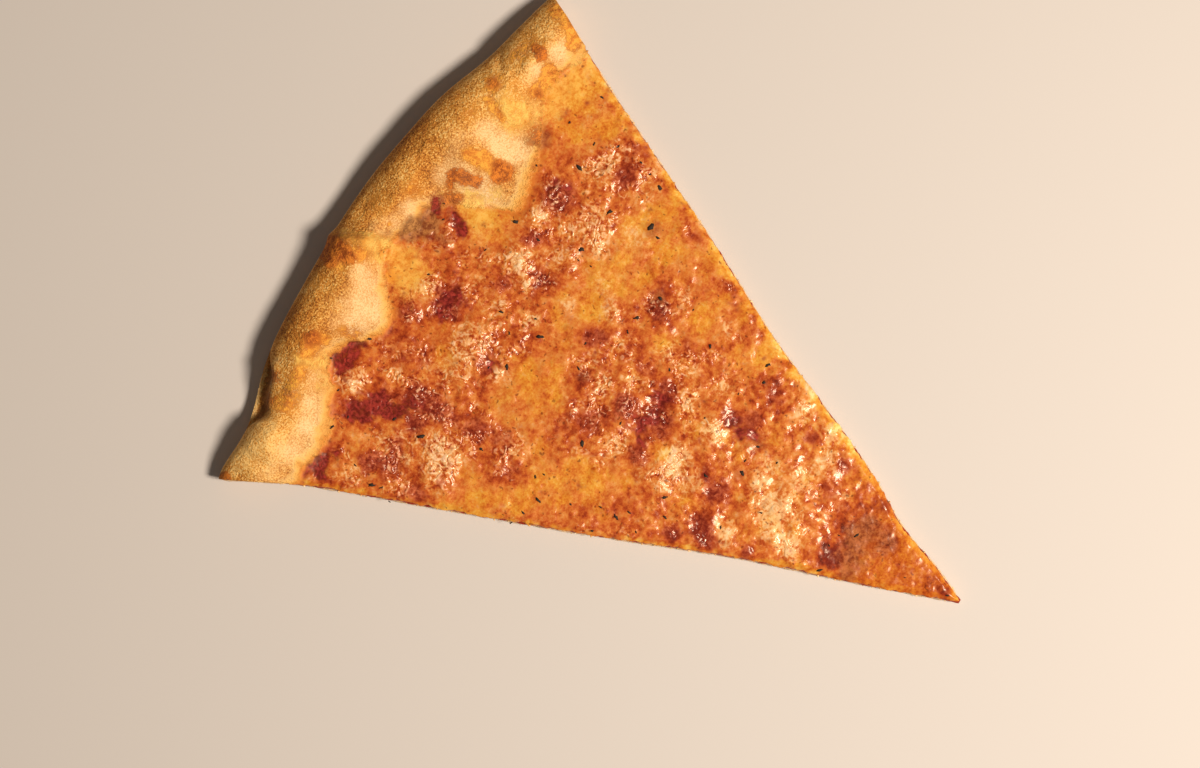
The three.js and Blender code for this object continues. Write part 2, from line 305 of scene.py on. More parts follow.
class Finish:
    # adds nodes to one material and joins them; lengths are in millimetres
    def __init__(self, name):
        self.material = bpy.data.materials.new(name)
        self.material.use_nodes = True
        self.tree = self.material.node_tree
        self.shader = self.tree.nodes["Principled BSDF"]
        self.place = self.tree.nodes.new("ShaderNodeTexCoord").outputs["Object"]

    def put(self, socket, value):
        # a link, a number, or a colour: three numbers are a screen colour
        if isinstance(value, bpy.types.NodeSocket):
            self.tree.links.new(value, socket)
        elif isinstance(value, tuple) and len(value) == 3:
            socket.default_value = tone8(*value)
        else:
            socket.default_value = value

    def node(self, kind, inputs, **settings):
        node = self.tree.nodes.new("ShaderNode" + kind)
        for name, value in settings.items():
            setattr(node, name, value)
        for name, value in inputs.items():
            self.put(node.inputs[name], value)
        return node

    def noise(self, size, detail=2.0, roughness=0.5, stretch=0.0):
        inputs = {"Scale": 1000 / size, "Detail": detail, "Roughness": roughness, "Distortion": stretch}
        return self.node("TexNoise", {"Vector": self.place, **inputs}).outputs["Fac"]

    def cellNoise(self, size, unevenness=0.0):
        # distance to scattered points; unevenness bends the cells
        place = self.place
        if unevenness:
            bend = self.node("TexNoise", {"Vector": place, "Scale": 700 / size}).outputs["Color"]
            inputs = {0: bend, 1: [unevenness * size * 0.004] * 3, 2: place}
            place = self.node("VectorMath", inputs, operation="MULTIPLY_ADD").outputs[0]
        return self.node("TexVoronoi", {"Vector": place, "Scale": 1000 / size}).outputs["Distance"]

    def creases(self, size, lines, shake):
        # wandering wrinkles that run side by side, from -1 to 1
        phase = self.plus(0.0, (self.noise(size, 1.0), lines), (self.noise(1.3, 1.0), shake))
        return self.maths("SINE", phase)

    def mark(self, name):
        return self.node("Attribute", {}, attribute_name=name).outputs["Fac"]

    def patch(self, name, uneven, much):
        # a mark with a broken outline; places without the mark stay clean
        return self.plus(self.mark(name), (uneven, self.between(self.mark(name), 0.0, 0.35, 0.0, much)))

    def share(self, mark, low, high, *parts):
        # how much a mark shows, with parts added that break its outline
        return self.between(self.plus(self.mark(mark), *parts), low, high)

    def maths(self, kind, a, b=0.0, c=0.0):
        return self.node("Math", {0: a, 1: b, 2: c}, operation=kind).outputs[0]

    def times(self, a, b):
        return self.maths("MULTIPLY", a, b)

    def plus(self, total, *parts):
        # adds each part, times its weight
        for part, weight in parts:
            total = self.maths("MULTIPLY_ADD", part, weight, total)
        return total

    def centred(self, noise):
        # noise round 0 instead of round a half
        return self.plus(-0.5, (noise, 1.0))

    def between(self, value, low, high, start=0.0, end=1.0):
        # eases from start to end as the value goes from low to high
        inputs = {"Value": value, "From Min": low, "From Max": high, "To Min": start, "To Max": end}
        return self.node("MapRange", inputs, interpolation_type="SMOOTHSTEP").outputs["Result"]

    def blend(self, share, a, b, kind="MIX"):
        return self.node("Mix", {0: share, 6: a, 7: b}, data_type="RGBA", blend_type=kind).outputs[2]

    def lay(self, colour, share, much, by, dark, light):
        # lays a mix of two tones over a colour
        return self.blend(self.times(share, much), colour, self.blend(by, dark, light))

    def ramp(self, value, stops):
        node = self.node("ValToRGB", {"Fac": value})
        points = node.color_ramp.elements
        while len(points) < len(stops):
            points.new(0.5)
        for point, (place, colour) in zip(points, stops):
            point.position = place
            point.color = tone8(*colour)
        return node.outputs["Color"]

    def bump(self, height, depth, strength=1.0):
        inputs = {"Height": height, "Distance": depth * millimetre, "Strength": strength}
        return self.node("Bump", inputs).outputs["Normal"]

    def finish(self, inputs):
        for name, value in inputs.items():
            self.put(self.shader.inputs[name], value)
        return self.material


rim = {
    "height": 17.5,
    "ridgeInset": 11.0,
    "ridgeShape": [(-17, 4, -4)],
    "widestShare": 0.42,
    "underTuck": 5.0,
    "footWidth": 0.6,
    "lipHeight": 6.0,
    "lipWidth": 5.0,
    "lipStep": 3.2,
    "lipFade": 1.3,
    "heightShape": [
        (-24, 2.6, -7), (-16.6, 1.7, -4.5), (-2.5, 1.2, 1.3), (1.6, 2, -1), (9, 4, 1), (16.9, 0.8, -1),
        (24.5, 2.6, -6),
    ],
    "pinchShape": [(-17.4, 0.9, 4.6), (-15.8, 1.1, 3.4), (-14.2, 1.0, 3.0)],
    "toastShape": [(-20, 3.6, -0.4), (-14.2, 2, -0.2), (-10, 1.8, 0.12), (7.5, 2.2, 0.1), (17, 5.5, -0.24)],
    # folds, hollows and blisters: x, y, half length, half width, turn, rise
    "relief": [
        (-7, 229, 9, 2, -66, 2.2), (3, 225, 7, 3, -70, -1.3), (16, 216, 13, 4, 2, -1.8),
        (-15, 231, 5, 4.5, 0, 0.9), (-41, 223, 5, 4, 0, 0.7), (-64, 219, 8, 3, 8, 1.3),
        (-84, 218, 7, 3, -75, -1.2), (37, 205.5, 8, 5, 88, 0.6), (54.5, 208.5, 6, 5, 60, 0.9),
        (66.5, 221, 6, 1.5, 40, -1.2), (75, 210, 8, 3, -10, 0.8),
    ],
    "facet": 0.55,
    "slopeRows": 34,
    "rollRows": 34,
    "tuckRows": 14,
    "toast": 0.6,  # how dark the rim is baked, 0 to 1
    "glintTint": (1.0, 0.85, 0.66, 1.0),
    # tones from the palest to the darkest bake, and from the sauce out to clean dough
    "bakeTones": [
        (0.0, (242, 190, 112)), (0.3, (222, 152, 66)), (0.55, (196, 120, 42)), (0.8, (160, 88, 28)),
        (1.0, (110, 62, 24)),
    ],
    "stainTones": [
        (0.09, (180, 84, 34)), (0.2, (204, 110, 42)), (0.33, (228, 146, 58)), (0.48, (240, 176, 88)),
        (0.62, (244, 196, 122)),
    ],
    "paleTones": ((241, 198, 138), (208, 142, 72)),
    "yellowTones": ((214, 138, 42), (250, 206, 104)),
    "orangeTones": ((198, 108, 34), (238, 164, 62)),
    "brownTones": ((138, 58, 18), (222, 124, 42)),
    "blisterEdge": (150, 76, 28),
    "paintedShadeTones": ((104, 54, 30), (178, 116, 62)),
    "redTones": ((92, 22, 16), (172, 62, 42)),
    "foldShadeTone": (150, 78, 24),
    "underTones": ((206, 158, 98), (160, 104, 54)),
    "spotTone": (110, 60, 28),
    "charTone": (62, 34, 20),
    "flourTone": (226, 208, 182),
}


def longSwelling(x, y, fold):
    centreX, centreY, long, wide, turn, rise = fold
    cos, sin = math.cos(math.radians(turn)), math.sin(math.radians(turn))
    along = (x - centreX) * cos + (y - centreY) * sin
    across = (y - centreY) * cos - (x - centreX) * sin
    return rise * np.exp(-((along / long) ** 2) - (across / wide) ** 2)


def rimHeightAt(angle):
    return rim["height"] + swelling(rim["heightShape"], angle)


def rimRelief(x, y):
    total = 0.35 * np.sin(x * 0.21 + 1.7 * np.sin(y * 0.13)) + 0.25 * np.sin(y * 0.31 - x * 0.12 + 2)
    for fold in rim["relief"]:
        total += longSwelling(x, y, fold)
    return total + 0.35 * grain(x, y, 7, 82, 3)


def insetAt(angle):
    return rim["ridgeInset"] + swelling(rim["ridgeShape"], angle)


def ridgeAt(angle):
    return outsideAt(angle) - swelling(rim["pinchShape"], angle) - insetAt(angle)


def rimTop(reach, angle):
    x, y = flatPlace(reach, angle)
    outside = outsideAt(angle)
    rollEnd = outside - swelling(rim["pinchShape"], angle)
    ridge = rollEnd - insetAt(angle)
    height = rimHeightAt(angle)
    widest = height * rim["widestShare"]
    foot = footAt(angle) + rim["footWidth"]
    relief = rimRelief(x, y)
    climb = smoothStep(reach, foot - 4, ridge)
    slope = mix(wedge["stepTop"], height, climb) + relief * smoothStep(reach, foot, foot + 4)
    rollShare = np.clip((reach - ridge) / insetAt(angle), 0, 1)
    lipShare = np.clip((reach - outside + rim["lipWidth"]) / rim["lipWidth"], 0, 1)
    square = 2 + 2 * smoothStep(outside - rollEnd, 0.5, 3)  # the shoulder is squarer at the pinch
    roll = widest + (height - widest) * (1 - rollShare ** square) ** (1 / square)
    roll += relief * (1 - smoothStep(rollShare, 0.6, 1))
    lip = mix(rim["lipHeight"], widest, lipShare ** 3)
    step = rim["lipStep"] * np.exp(-np.maximum(reach - rollEnd, 0) / rim["lipFade"])
    lip = lip + step * smoothStep(outside - rollEnd, 1.5, 3.5)
    outer = np.where(reach < rollEnd, np.maximum(roll, lip), lip)
    return np.where(reach < ridge, slope, outer)


def doughTop(reach, angle):
    foot = footAt(angle)
    return np.where(reach <= foot + 0.01, wedge["slab"], rimTop(reach, angle))


def doughBottom(reach, angle):
    # the underside is level, then curls up to the rim's widest line
    outside = outsideAt(angle)
    share = np.clip((reach - outside + rim["underTuck"]) / rim["underTuck"], 0, 1)
    return rimHeightAt(angle) * rim["widestShare"] * (1 - np.sqrt(1 - share ** 2))


crumb = {
    "facet": 0.5,
    "levels": 9,
    "rimLevels": 30,
    "topSpacing": 5.0,
    "underSpacing": 2.0,
    "standOut": 0.35,
    # bubbles: width, share of them that are open, depth; the large ones are in the rim
    "smallHole": (1.1, 0.55, 0.5),
    "largeHole": (4.2, 0.7, 1.6),
    "tones": ((238, 184, 124), (253, 224, 180)),
    "baseTone": (166, 104, 52),  # the brown line along the cut
}


def buildDough():
    skin = Skin()
    facets = int(round(wedge["width"] / rim["facet"]))
    top = []  # rows of (index, reach, angle)
    bottom = []
    for place in rowsTo(footAt, crumb["topSpacing"])[:-1]:
        skin.addRow(top, place, doughTop)
    skin.addRow(top, layRow(footAt, facets), doughTop)
    for k in range(rim["slopeRows"] + 1):
        share = k / rim["slopeRows"]
        place = layRow(lambda angle: mix(footAt(angle) + rim["footWidth"], ridgeAt(angle), share), facets)
        skin.addRow(top, place, rimTop)
    for k in range(1, rim["rollRows"] + 1):
        turn = math.sin(math.radians(90 * k / rim["rollRows"]))
        place = layRow(lambda angle: mix(ridgeAt(angle), outsideAt(angle), turn), facets)
        skin.addRow(top, place, rimTop)
    for place in rowsTo(lambda angle: outsideAt(angle) - rim["underTuck"], crumb["underSpacing"]):
        skin.addRow(bottom, place, doughBottom)
    for k in range(1, rim["tuckRows"]):
        turn = math.sin(math.radians(90 * k / rim["tuckRows"]))
        place = layRow(lambda angle: outsideAt(angle) - rim["underTuck"] * (1 - turn), facets)
        skin.addRow(bottom, place, doughBottom)
    bottom.append(top[-1])
    skin.stitchRows(top)
    skin.stitchRows(bottom, flip=True)
    skin.stitch(bottom[0][0], bottom[0][2], top[0][0], top[0][2], kind=1)
    for side in (0, -1):
        addWall(skin, top, bottom, side)
    return skin


def addWall(skin, top, bottom, side):
    # the cut face: a grid of points between the edge of the top and the edge of the underside
    cutAt = leftCut if side == 0 else rightCut
    outward = -1 if side == 0 else 1
    edgeTop, reachTop, edgeLow, reachLow = (
        np.array([row[k][side] for row in rows]) for rows in (top, bottom) for k in (0, 1)
    )
    foot = meets(footAt, cutAt, 220.0)
    outside = meets(outsideAt, cutAt, 236.0)

    def sew(a, keyA, b, keyB, turned=False):
        skin.stitch(a, keyA, b, keyB, kind=1, flip=(side == 0) != turned)

    def addGrid(start, end, levels, highAt):
        reach = np.linspace(start, end, int((end - start) / crumb["facet"]))
        angle = cutAt(reach)
        high = highAt(reach, angle)
        low = doughBottom(reach, angle)
        share = (np.arange(levels)[:, None] + 0.6) / (levels + 0.2) * np.ones_like(reach)
        height = low + (high - low) * share
        along = reach * np.ones_like(height)
        push = outward * crumbPush(along, height, share, side)
        x, y = flatPlace(along, angle)
        x = x + push * np.cos(np.radians(angle))
        y = y - push * np.sin(np.radians(angle))
        grid = skin.add(x, y, height).reshape(height.shape)
        for k in range(levels - 1):
            sew(grid[k], reach, grid[k + 1], reach)
        return grid, reach, height, high

    # under the topping
    slabAt = lambda reach, angle: np.full_like(reach, wedge["slab"])
    grid, reach, height, high = addGrid(wedge["tipReach"] + 0.3, foot, crumb["levels"], slabAt)
    tipEdge = np.array([edgeLow[0], edgeTop[0]])
    sew(tipEdge, np.array([0.0, wedge["slab"]]), grid[:, 0], height[:, 0], True)
    inside = reachTop < foot + 0.05
    sew(grid[-1], reach, edgeTop[inside], reachTop[inside])
    insideLow = reachLow < foot + 0.05
    sew(edgeLow[insideLow], reachLow[insideLow], grid[0], reach)
    lastLow = np.flatnonzero(insideLow)[-1]
    column = np.concatenate([[edgeLow[lastLow]], grid[:, -1], [edgeTop[inside][-1]]])
    columnKey = np.concatenate([[0.0], height[:, -1], [wedge["slab"] + 0.01]])
    # and the rim
    grid, reach, height, high = addGrid(foot + rim["footWidth"], outside - 0.12, crumb["rimLevels"], rimTop)
    nextTop = np.flatnonzero(reachTop > foot + 0.3)[0]
    nextColumn = np.concatenate([[edgeLow[lastLow]], grid[:, 0], [edgeTop[nextTop]]])
    nextKey = np.concatenate([[0.0], height[:, 0], [high[0] + 0.01]])
    sew(column, columnKey, nextColumn, nextKey, True)
    sew(grid[-1], reach, edgeTop[nextTop:], reachTop[nextTop:])
    sew(edgeLow[lastLow:], reachLow[lastLow:], grid[0], reach)
    sew(grid[:, -1], height[:, -1], edgeTop[-1:], reachTop[-1:], True)


def crumbPush(reach, height, share, side):
    # how far the cut face stands out, with holes from bubbles in the dough
    seed = 31 + side
    middle = np.sin(np.pi * np.clip(share, 0, 1))
    size, openShare, smallDepth = crumb["smallHole"]
    near, own = cells(reach * 0.75, height, size, seed)
    small = np.where(own < openShare, 1 - smoothStep(near, 0.15, 0.5), 0)
    size, openShare, largeDepth = crumb["largeHole"]
    near, own = cells(reach * 0.8, height, size, seed + 10)
    inRim = smoothStep(reach, wedge["footReach"], wedge["footReach"] + 5)
    large = np.where(own < openShare, 1 - smoothStep(near, 0.12, 0.5), 0) * inRim
    ragged = 0.18 * grain(reach, height, 1.3, seed + 20, 2)
    ragged += 0.25 * grain(reach, height * 0.5, 5, seed + 21)
    return middle * (crumb["standOut"] + ragged - smallDepth * small - largeDepth * large)


def crustMarks(x, y, onTop=1.0):
    # how toasted, pale and blistered the crust is; the thin edge of the cheese is marked alike
    warpX, warpY = warped(x, y, 0.45)
    reach, angle = fromTip(x, y)
    outside = outsideAt(angle)
    ridge = ridgeAt(angle)
    foot = footAt(angle)
    field = {kind: much * onTop for kind, much in patchFields(warpX, warpY).items()}
    mottle = grain(x, y, 9, 5, 3)
    share = (reach - ridge) / (outside - ridge)
    slope = (reach - foot) / np.maximum(ridge - foot, 4)
    toast = rim["toast"] + 0.14 * mottle
    toast += 0.04 * smoothStep(share, 0.7, 0.94) - 0.1 * smoothStep(slope, 0.7, 1.05)
    toast += swelling(rim["toastShape"], angle) * smoothStep(slope, 0.2, 0.7)
    # painted rim light: a thin pale line along the outer edge of the rim
    toast -= 0.5 * smoothStep(share, 0.94, 0.99) * onTop
    pale = (1 - smoothStep(slope + 0.3 * mottle, 0.0, 1.1)) * 0.26
    pale += np.clip(field["pale"], 0, 1.1) * mix(0.75, 0.45, smoothStep(slope, 0.5, 0.95))
    toast -= 0.2 * pale
    pinch = swelling(rim["pinchShape"], angle)
    onLip = smoothStep(pinch, 0.4, 1.6)
    # painted shade: the lip under the pinched roll is darkened and kept free of patches
    lip = smoothStep(reach - outside + pinch, -0.2, 1.2) * onLip
    # painted rim light: a pale line just inside the outline of the lip
    litLipEdge = smoothStep(reach - outside, -1.8, -0.6) * onLip
    # where a place lies across the foot of the rim: 0.5 at the foot, rising outwards, 11 mm from 0 to 1
    clean = swelling(wedge["cleanShape"], angle)
    fromFoot = 0.5 + (reach - foot + clean + 1.8 * grain(x, y, 7, 58, 3)) / 11
    return {
        # the lip is darker with painted shade, and its edge paler with painted rim light
        "toast": np.clip(toast + 0.3 * lip - 0.5 * litLipEdge, 0, 1.3),
        "crustPale": np.clip(pale * (1 - lip) + 0.3 * litLipEdge, 0, 1),
        "fromFoot": np.clip(fromFoot, 0, 1),
        "brown": np.clip(field["brown"] * (1 + 0.4 * grain(x, y, 2.5, 50, 2)), 0, 1) * (1 - lip),
        "orange": np.clip(field["orange"] * (1 + 0.4 * grain(x, y, 2.5, 54, 2)), 0, 1) * (1 - lip),
        "yellow": np.clip(field["yellow"], 0, 1) * (1 - lip),
        "paintedShade": np.clip(field["paintedShade"] * (1 + 0.4 * grain(x, y, 3, 55, 2)), 0, 1),
        "stain": np.clip(field["pool"], 0, 1),
        # painted shade along the folds
        "fold": foldShadeField(warpX * 0.4 + x * 0.6, warpY * 0.4 + y * 0.6) * onTop,
    }


def doughMarks(skin):
    x, y, z = skin.corners().T
    marks = crustMarks(x, y, smoothStep(z, 3.5, 5.8))
    marks["under"] = 1 - smoothStep(z, 0.5, 3.5)
    return marks


def footPlace(f, uneven):
    return f.plus(f.mark("fromFoot"), (uneven, 0.3))


def footColour(f, colour, uneven):
    # sauce and oil stain the dough at the foot of the rim, and the cheese thins out into it
    place = footPlace(f, uneven)
    share = f.times(f.between(place, 0.02, 0.25), f.between(place, 0.5, 0.75, 1.0, 0.0))
    share = f.times(share, f.between(f.mark("yellow"), 0.1, 0.5, 0.85, 0.25))
    return f.blend(share, colour, f.ramp(place, rim["stainTones"]))


def islandColour(f, colour, kind, uneven):
    # a browned blister with a darker edge
    place = f.patch(kind, uneven, 1.5)
    by = f.between(uneven, -0.16, 0.16)
    colour = f.lay(colour, f.between(place, 0.05, 0.8), 0.92, by, *rim[kind + "Tones"])
    line = f.times(f.between(place, 0.25, 0.5), f.between(place, 0.5, 0.9, 0.4, 0.0))
    return f.blend(line, colour, rim["blisterEdge"])


def paintedShadeColour(f, colour, uneven):
    # painted shade: dusky brown laid in the valleys of the rim and under the pinched roll
    share = f.between(f.patch("paintedShade", uneven, 1.0), 0.05, 0.9)
    return f.lay(colour, share, 0.85, f.between(uneven, -0.16, 0.16), *rim["paintedShadeTones"])


def crustColour(f):
    # the colour and the fine relief of the crust's top
    speckle = f.noise(0.55, 2, 0.7)
    grains = f.between(f.cellNoise(1.3, 0.8), 0.1, 0.55, 1, 0)
    fine = f.centred(speckle)
    wide = f.centred(f.noise(2.4, 4, 0.65))
    uneven = f.plus(wide, (fine, 0.7))
    toast = f.plus(f.mark("toast"), (wide, 0.8), (fine, 2.5), (grains, -0.24))
    share = f.share("crustPale", 0.0, 1.1, (wide, 0.9), (fine, 0.25))
    pale = f.blend(f.between(toast, -0.05, 1.05), *rim["paleTones"])
    colour = f.blend(share, f.ramp(toast, rim["bakeTones"]), pale)
    colour = footColour(f, colour, uneven)
    share = f.between(f.patch("yellow", uneven, 1.5), 0.1, 1.1)
    colour = f.lay(colour, share, 0.75, f.between(uneven, -0.18, 0.18), *rim["yellowTones"])
    for kind in ("orange", "brown"):
        colour = islandColour(f, colour, kind, uneven)
    colour = paintedShadeColour(f, colour, uneven)
    share = f.share("stain", 0.2, 1.0, (uneven, 1.0))
    colour = f.lay(colour, share, 1.0, f.between(uneven, -0.3, 0.3), *rim["redTones"])
    # painted shade: a brown line along each fold
    colour = f.blend(f.times(f.mark("fold"), 0.28), colour, rim["foldShadeTone"])
    height = f.plus(0.0, (speckle, 1.5), (grains, 0.6), (f.noise(1.6, 3), 1.6))
    return colour, f.times(height, f.between(f.mark("crustPale"), 0.2, 1.0, 1.0, 0.55))


def crustFinish():
    f = Finish("bakedCrust")
    colour, height = crustColour(f)
    # the underside is toasted in broad patches, charred in spots and dusted with flour
    broad = f.noise(34, 3)
    base = f.blend(f.between(broad, 0.38, 0.64), *rim["underTones"])
    spots = f.plus(f.noise(6, 5, 0.6), (broad, 0.7))
    base = f.blend(f.between(spots, 0.86, 1.06, 0.0, 0.8), base, rim["spotTone"])
    spots = f.plus(f.noise(11, 5, 0.65), (broad, 0.5))
    base = f.blend(f.between(spots, 0.85, 0.96, 0.0, 0.8), base, rim["charTone"])
    base = f.blend(f.between(f.noise(2.6, 5, 0.7), 0.5, 0.78, 0.0, 0.55), base, rim["flourTone"])
    colour = f.blend(f.mark("under"), colour, base)
    return f.finish({
        "Base Color": colour, "Roughness": 0.78, "Normal": f.bump(height, 0.24), "Specular IOR Level": 0.2,
        "Specular Tint": rim["glintTint"],
    })


def crumbFinish():
    f = Finish("paleCrumb")
    mottle = f.noise(1.5, 4)
    colour = f.blend(mottle, *crumb["tones"])
    # the baked base shows as a brown line along the cut
    base = f.between(f.plus(f.mark("under"), (mottle, 0.3)), 0.92, 1.15, 0.0, 0.8)
    colour = f.blend(base, colour, crumb["baseTone"])
    normal = f.bump(f.noise(0.8, 4, 0.6), 0.3, 0.9)
    return f.finish({"Base Color": colour, "Roughness": 0.8, "Normal": normal, "Specular IOR Level": 0.25})


tomato = {
    "facet": 0.8,
    "wobble": 0.35,
    "tones": ((120, 26, 10), (176, 56, 20)),
}


def perimeter(reachOf, spacing, inset=0.0):
    # once round the wedge, seen from above against the clock: tip, right cut, rim, left cut
    tip = wedge["tipReach"] + inset
    footRight = meets(reachOf, rightCut, 215.0)
    footLeft = meets(reachOf, leftCut, 215.0)
    right = np.linspace(tip, footRight, int((footRight - tip) / spacing))
    left = np.linspace(footLeft, tip, int((footLeft - tip) / spacing))
    rimAngle = np.linspace(rightCut(right[-1]), leftCut(left[0]), int(180 / spacing))[1:-1]
    margin = lambda reach: np.degrees(inset / np.maximum(reach, 1))
    reach = np.concatenate([right, reachOf(rimAngle), left])
    angle = np.concatenate([rightCut(right) - margin(right), rimAngle, leftCut(left) + margin(left)])
    return reach, angle


def outwardOf(x, y):
    # unit normals of a closed loop that runs against the clock
    alongX = np.roll(x, -1) - np.roll(x, 1)
    alongY = np.roll(y, -1) - np.roll(y, 1)
    size = np.maximum(np.hypot(alongX, alongY), 1e-6)
    return alongY / size, -alongX / size


def ringFaces(skin, upper, lower):
    # a band of faces between two closed loops with as many points, the upper one first
    nextUpper = np.roll(upper, -1)
    nextLower = np.roll(lower, -1)
    skin.addFaces(np.stack([upper, lower, nextLower], -1))
    skin.addFaces(np.stack([upper, nextLower, nextUpper], -1))


def capFaces(skin, loop, up):
    # fills a nearly level loop
    corners = skin.corners()[loop]
    outline = [Vector((corner[0], corner[1], 0)) for corner in corners]
    faces = np.array(tessellate_polygon([outline]))
    a, b, c = (corners[faces[:, k]] for k in range(3))
    area = (b[:, 0] - a[:, 0]) * (c[:, 1] - a[:, 1]) - (b[:, 1] - a[:, 1]) * (c[:, 0] - a[:, 0])
    wrong = (area < 0) if up else (area > 0)
    faces[wrong] = faces[wrong][:, ::-1]
    skin.addFaces(loop[faces])


def buildSauce():
    skin = Skin()
    reach, angle = perimeter(lambda a: footAt(a) - 0.5, tomato["facet"], 0.3)
    x, y = flatPlace(reach, angle)
    outX, outY = outwardOf(x, y)
    wobble = tomato["wobble"] * grain(x, y, 4, 71, 3)
    low, high = wedge["slab"] - 0.05, wedge["cheeseBottom"] + 0.1
    rings = []
    for share, push in ((0, 0.0), (0.3, 0.25), (0.6, 0.3), (1, 0.05)):
        out = push + wobble
        rings.append(skin.add(x + outX * out, y + outY * out, mix(high, low, share)))
    for upper, lower in zip(rings, rings[1:]):
        ringFaces(skin, upper, lower)
    capFaces(skin, rings[0], True)
    capFaces(skin, rings[-1], False)
    return skin


def sauceFinish():
    f = Finish("tomatoSauce")
    colour = f.blend(f.noise(2.5, 3), *tomato["tones"])
    normal = f.bump(f.noise(1.2, 3), 0.2, 0.7)
    return f.finish({
        "Base Color": colour, "Roughness": 0.28, "Normal": normal,
        "Coat Weight": 0.3, "Coat Roughness": 0.15,
    })


cheese = {
    "facet": 0.47,
    "edgeDrop": 0.9,
    "edgeWidth": 2.2,
    # large blisters and pools: x, y, half width, rise
    "relief": [
        (40.5, 182, 4.5, 1.1), (-5, 127, 4.5, 1.1), (-3, 58, 4, 1), (-17, 203, 5, 0.9), (-57, 162, 4, 0.9),
        (-52, 169, 8, 1), (-15, 180, 9, 1), (15, 182, 6, 1.1), (2, 98, 8, 0.9), (-20, 108, 6, 0.8),
        (40, 168, 10, 0.9), (-6, 66, 9, 0.9), (30, 185, 5, 0.8), (-46, 205, 5, 0.9), (-50, 198, 6, -0.5),
        (-8, 193, 6, -0.5), (-2, 118, 7, -0.5), (9, 92, 6, -0.5), (0, 40, 9, -0.4), (-74, 199, 5, -0.4),
    ],
    "lumpCount": 190,
    "smallestLump": 2.6,
    "largestLump": 4.6,
    "lumpRise": 0.6,
    "glintTint": (1.0, 0.78, 0.58, 1.0),
    "filmHeights": (0.4, -0.3),  # over the foot of the rim, from its start to its end
    "tone": 0.465,  # how pale the cheese is away from its patches, 0 to 1
    "leftBand": 2.0,  # width of the golden band along each cut
    "rightBand": 4.0,
    "tones": [
        (0.0, (92, 26, 10)), (0.18, (138, 44, 16)), (0.36, (178, 72, 24)), (0.52, (204, 104, 36)),
        (0.68, (220, 134, 54)), (0.84, (234, 162, 88)), (1.0, (248, 196, 136)),
    ],
    "creamTones": ((214, 140, 80), (242, 197, 136)),
    "paleTones": ((216, 156, 80), (246, 208, 150)),
    "poolTones": ((84, 16, 16), (166, 56, 44)),
    "creaseGlintTone": (246, 192, 148),
    "dotTone": (104, 38, 16),
    # colours laid over them: mark, how broken, starts at, full at, strength, dark tone, light tone
    "bakedLayers": [
        ("ruddy", 1.2, 0.2, 1.0, 0.75, (116, 34, 22), (208, 98, 68)),
        ("flame", 1.0, 0.2, 1.0, 0.75, (190, 70, 24), (232, 116, 50)),
    ],
    "dryLayers": [
        ("yellow", 1.0, 0.1, 1.0, 0.8, (208, 124, 34), (242, 188, 84)),
        ("orange", 1.0, 0.2, 0.9, 0.85, (206, 122, 36), (236, 162, 60)),
        ("brown", 1.0, 0.1, 1.1, 0.8, (104, 46, 26), (190, 108, 58)),
    ],
}

